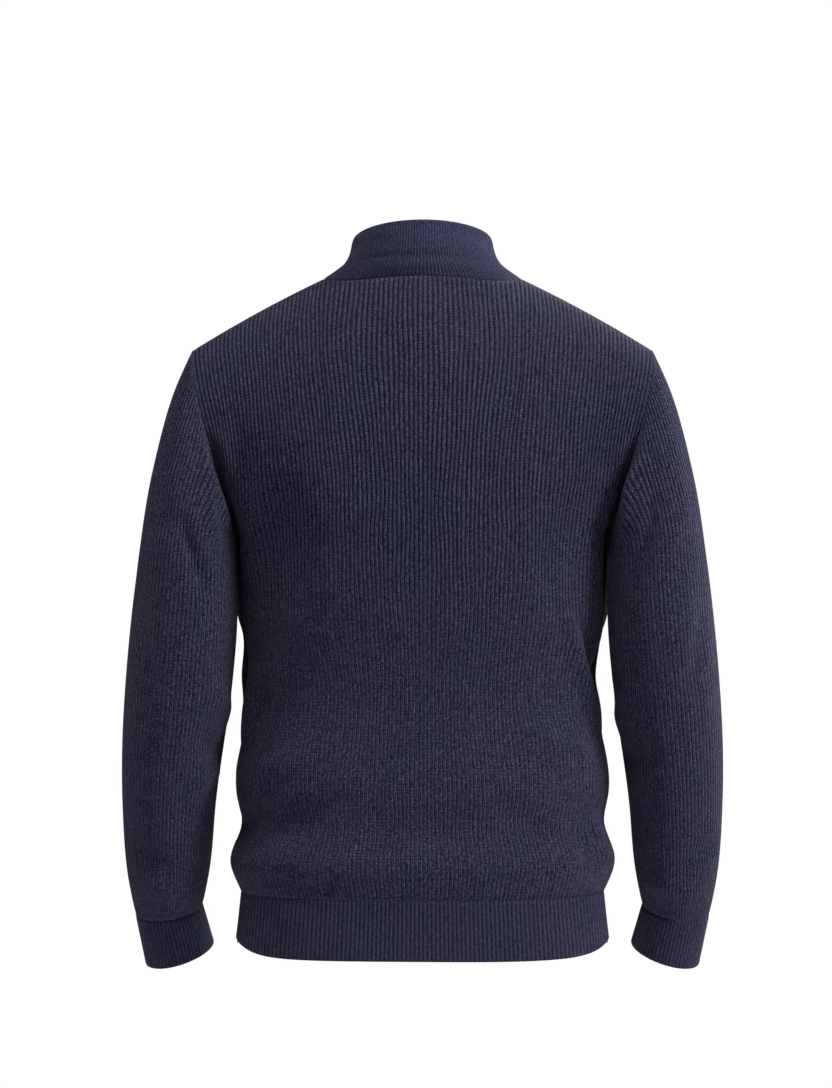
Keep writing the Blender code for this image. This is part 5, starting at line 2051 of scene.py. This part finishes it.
@dataclass
class Topstitch(Maker):
    """The stitches that hold the zip's tapes, down both sides of the slit and across its foot."""

    line: ZipLine
    pitch: float = 0.0034
    length: float = 0.0026
    radius: float = 0.00036
    beside: float = 0.0098  # from the garment's centre line
    below: float = 0.0042  # from the slit's foot to the row across it
    reach: float = 0.020  # how far off the cloth it is looked for

    def stitch(self) -> bpy.types.Mesh:
        """One stitch, a short thread whose ends dip into the knit.

        Returns:
            Its mesh.
        """
        share = np.linspace(-1, 1, 9)
        height = 0.0003 - 0.0013 * share ** 4
        path = np.stack((np.zeros(9), share * self.length / 2, height), axis=1)
        facing = np.tile((1.0, 0.0, 0.0), (9, 1))
        return tube_mesh("stitch", path, facing, np.full(9, self.radius), sides=6)

    def settled(self, skins: Sequence[BVHTree], place: Matrix) -> Matrix | None:
        """Lowers a place along its own Z to the nearest cloth.

        Args:
            skins: The cloths it may lie on.
            place: The place, on the zip's line or beside it.

        Returns:
            The place on the cloth's face, or None where there is no cloth.
        """
        down = -place.col[2].to_3d().normalized()
        start = place.translation - down * self.reach
        hits = [skin.ray_cast(start, down, 2 * self.reach) for skin in skins]
        hits = [hit for hit in hits if hit[0] is not None]
        if not hits:
            return None
        point = min(hits, key=lambda hit: hit[3])[0]
        return Matrix.Translation(point - place.translation) @ place

    def build(self) -> None:
        """Lays the rows on the finished cloth."""
        skins = []
        for name in ("front_knit", "collar_rib"):
            mesh = bpy.data.objects[name].data
            skins.append(BVHTree.FromPolygons([vertex.co for vertex in mesh.vertices],
                                              [tuple(face.vertices) for face in mesh.polygons]))
        foot = self.line.length + self.below
        drops = np.arange(0.0030, foot - self.pitch / 2, self.pitch)
        wanted = [self.line.place(float(drop)) @ Matrix.Translation((side * self.beside, 0.0, 0.0))
                  for side in (-1, 1) for drop in drops]
        end, turn = self.line.place(self.line.length), Matrix.Rotation(math.pi / 2, 4, "Z")
        count = int(2 * self.beside / self.pitch)
        wanted += [end @ Matrix.Translation((across, self.below, 0.0)) @ turn
                   for across in np.linspace(-self.beside, self.beside, count + 1)]
        settled = (self.settled(skins, place) for place in wanted)
        places = [place for place in settled if place is not None]
        mesh = repeated(self.stitch(), places, "zip_stitches")
        self.wardrobe.add(mesh.name, mesh, self.finishes.thread, "zip_tape")


# ---- studio ----
@dataclass(frozen=True)
class Studio:
    """The photograph's camera, a soft key from the picture's right, and a pale floor."""

    camera_place: Point = (0.0065, 3.75, -0.265)
    frame_height: float = 1.088  # what the camera sees at the garment's middle
    sensor: float = 36.0
    floor_z: float = -1.45
    floor_radius: float = 4.0
    ambient: float = 0.24
    aimed_at: Point = (0.0, 0.0, -0.3)
    lights: tuple[tuple[str, Point, float, float], ...] = (
        ("key", (-3.2, 1.9, 1.7), 1.3, 270.0), ("fill", (1.7, 0.5, 3.1), 1.8, 108.0),
        ("top", (-0.3, 1.3, 3.0), 1.6, 84.0), ("front_key", (-2.6, -2.4, 1.5), 1.4, 250.0))

    def build(self) -> None:
        """Builds the camera, the lights, the world and the floor."""
        camera = bpy.data.cameras.new("photo_camera")
        camera.sensor_fit, camera.sensor_height = "VERTICAL", self.sensor
        camera.lens = self.sensor * self.camera_place[1] / self.frame_height
        view = bpy.data.objects.new("photo_camera", camera)
        view.location = self.camera_place
        view.rotation_euler = (math.pi / 2, 0.0, math.pi)
        bpy.context.scene.collection.objects.link(view)
        bpy.context.scene.camera = view
        for name, place, size, power in self.lights:
            self.light(name, place, size, power)
        self.world()
        bpy.context.scene.view_settings.view_transform = "Standard"
        self.floor()

    def world(self) -> None:
        """Adds a white background that lights the garment only softly."""
        world = bpy.data.worlds.new("studio")
        world.use_nodes = True
        tree = world.node_tree
        paper = tree.nodes["Background"]
        paper.inputs["Color"].default_value = (1.0, 1.0, 1.0, 1.0)
        seen = tree.nodes.new("ShaderNodeLightPath")
        share = tree.nodes.new("ShaderNodeMapRange")
        share.inputs["To Min"].default_value = self.ambient
        share.inputs["To Max"].default_value = 1.0
        tree.links.new(seen.outputs["Is Camera Ray"], share.inputs["Value"])
        tree.links.new(share.outputs["Result"], paper.inputs["Strength"])
        bpy.context.scene.world = world

    def light(self, name: str, place: Point, size: float, power: float) -> None:
        """Adds an area light that faces the garment's middle.

        Args:
            name: The light's name.
            place: Where it stands.
            size: Its width.
            power: Its power in watts.
        """
        lamp = bpy.data.lights.new(name, "AREA")
        lamp.shape, lamp.size, lamp.energy = "DISK", size, power
        holder = bpy.data.objects.new(name, lamp)
        holder.location = place
        aim = Vector(self.aimed_at) - Vector(place)
        holder.rotation_euler = aim.to_track_quat("-Z", "Y").to_euler()
        bpy.context.scene.collection.objects.link(holder)

    def floor(self) -> None:
        """Adds the floor, which isn't part of the garment."""
        bpy.ops.mesh.primitive_circle_add(vertices=96, radius=self.floor_radius, fill_type="NGON",
                                          location=(0.0, 0.0, self.floor_z))
        floor = bpy.context.object
        floor.name = "floor"
        bpy.ops.object.transform_apply(location=True, rotation=True, scale=True)
        floor.data.materials.append(FloorFinish().material())


def main() -> None:
    """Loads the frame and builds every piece."""
    logging.basicConfig(level=logging.INFO, format="%(name)s: %(message)s")
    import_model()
    bpy.ops.object.select_all(action="DESELECT")
    finishes = Finishes.made()
    wardrobe = Wardrobe()
    torso = TorsoForm()
    TorsoCloth(wardrobe, finishes, torso).build()
    CollarCloth(wardrobe, finishes, torso).build()
    sleeves = SleeveCloth(wardrobe, finishes, torso)
    sleeves.build()
    Linking(wardrobe, finishes, torso, sleeves.form).build()
    line = ZipLine(torso, CollarForm())
    Zip(wardrobe, finishes, line).build()
    Topstitch(wardrobe, finishes, line).build()
    Studio().build()
    LOG.info("%d pieces", len(wardrobe.pieces))


if __name__ == "__main__":
    main()
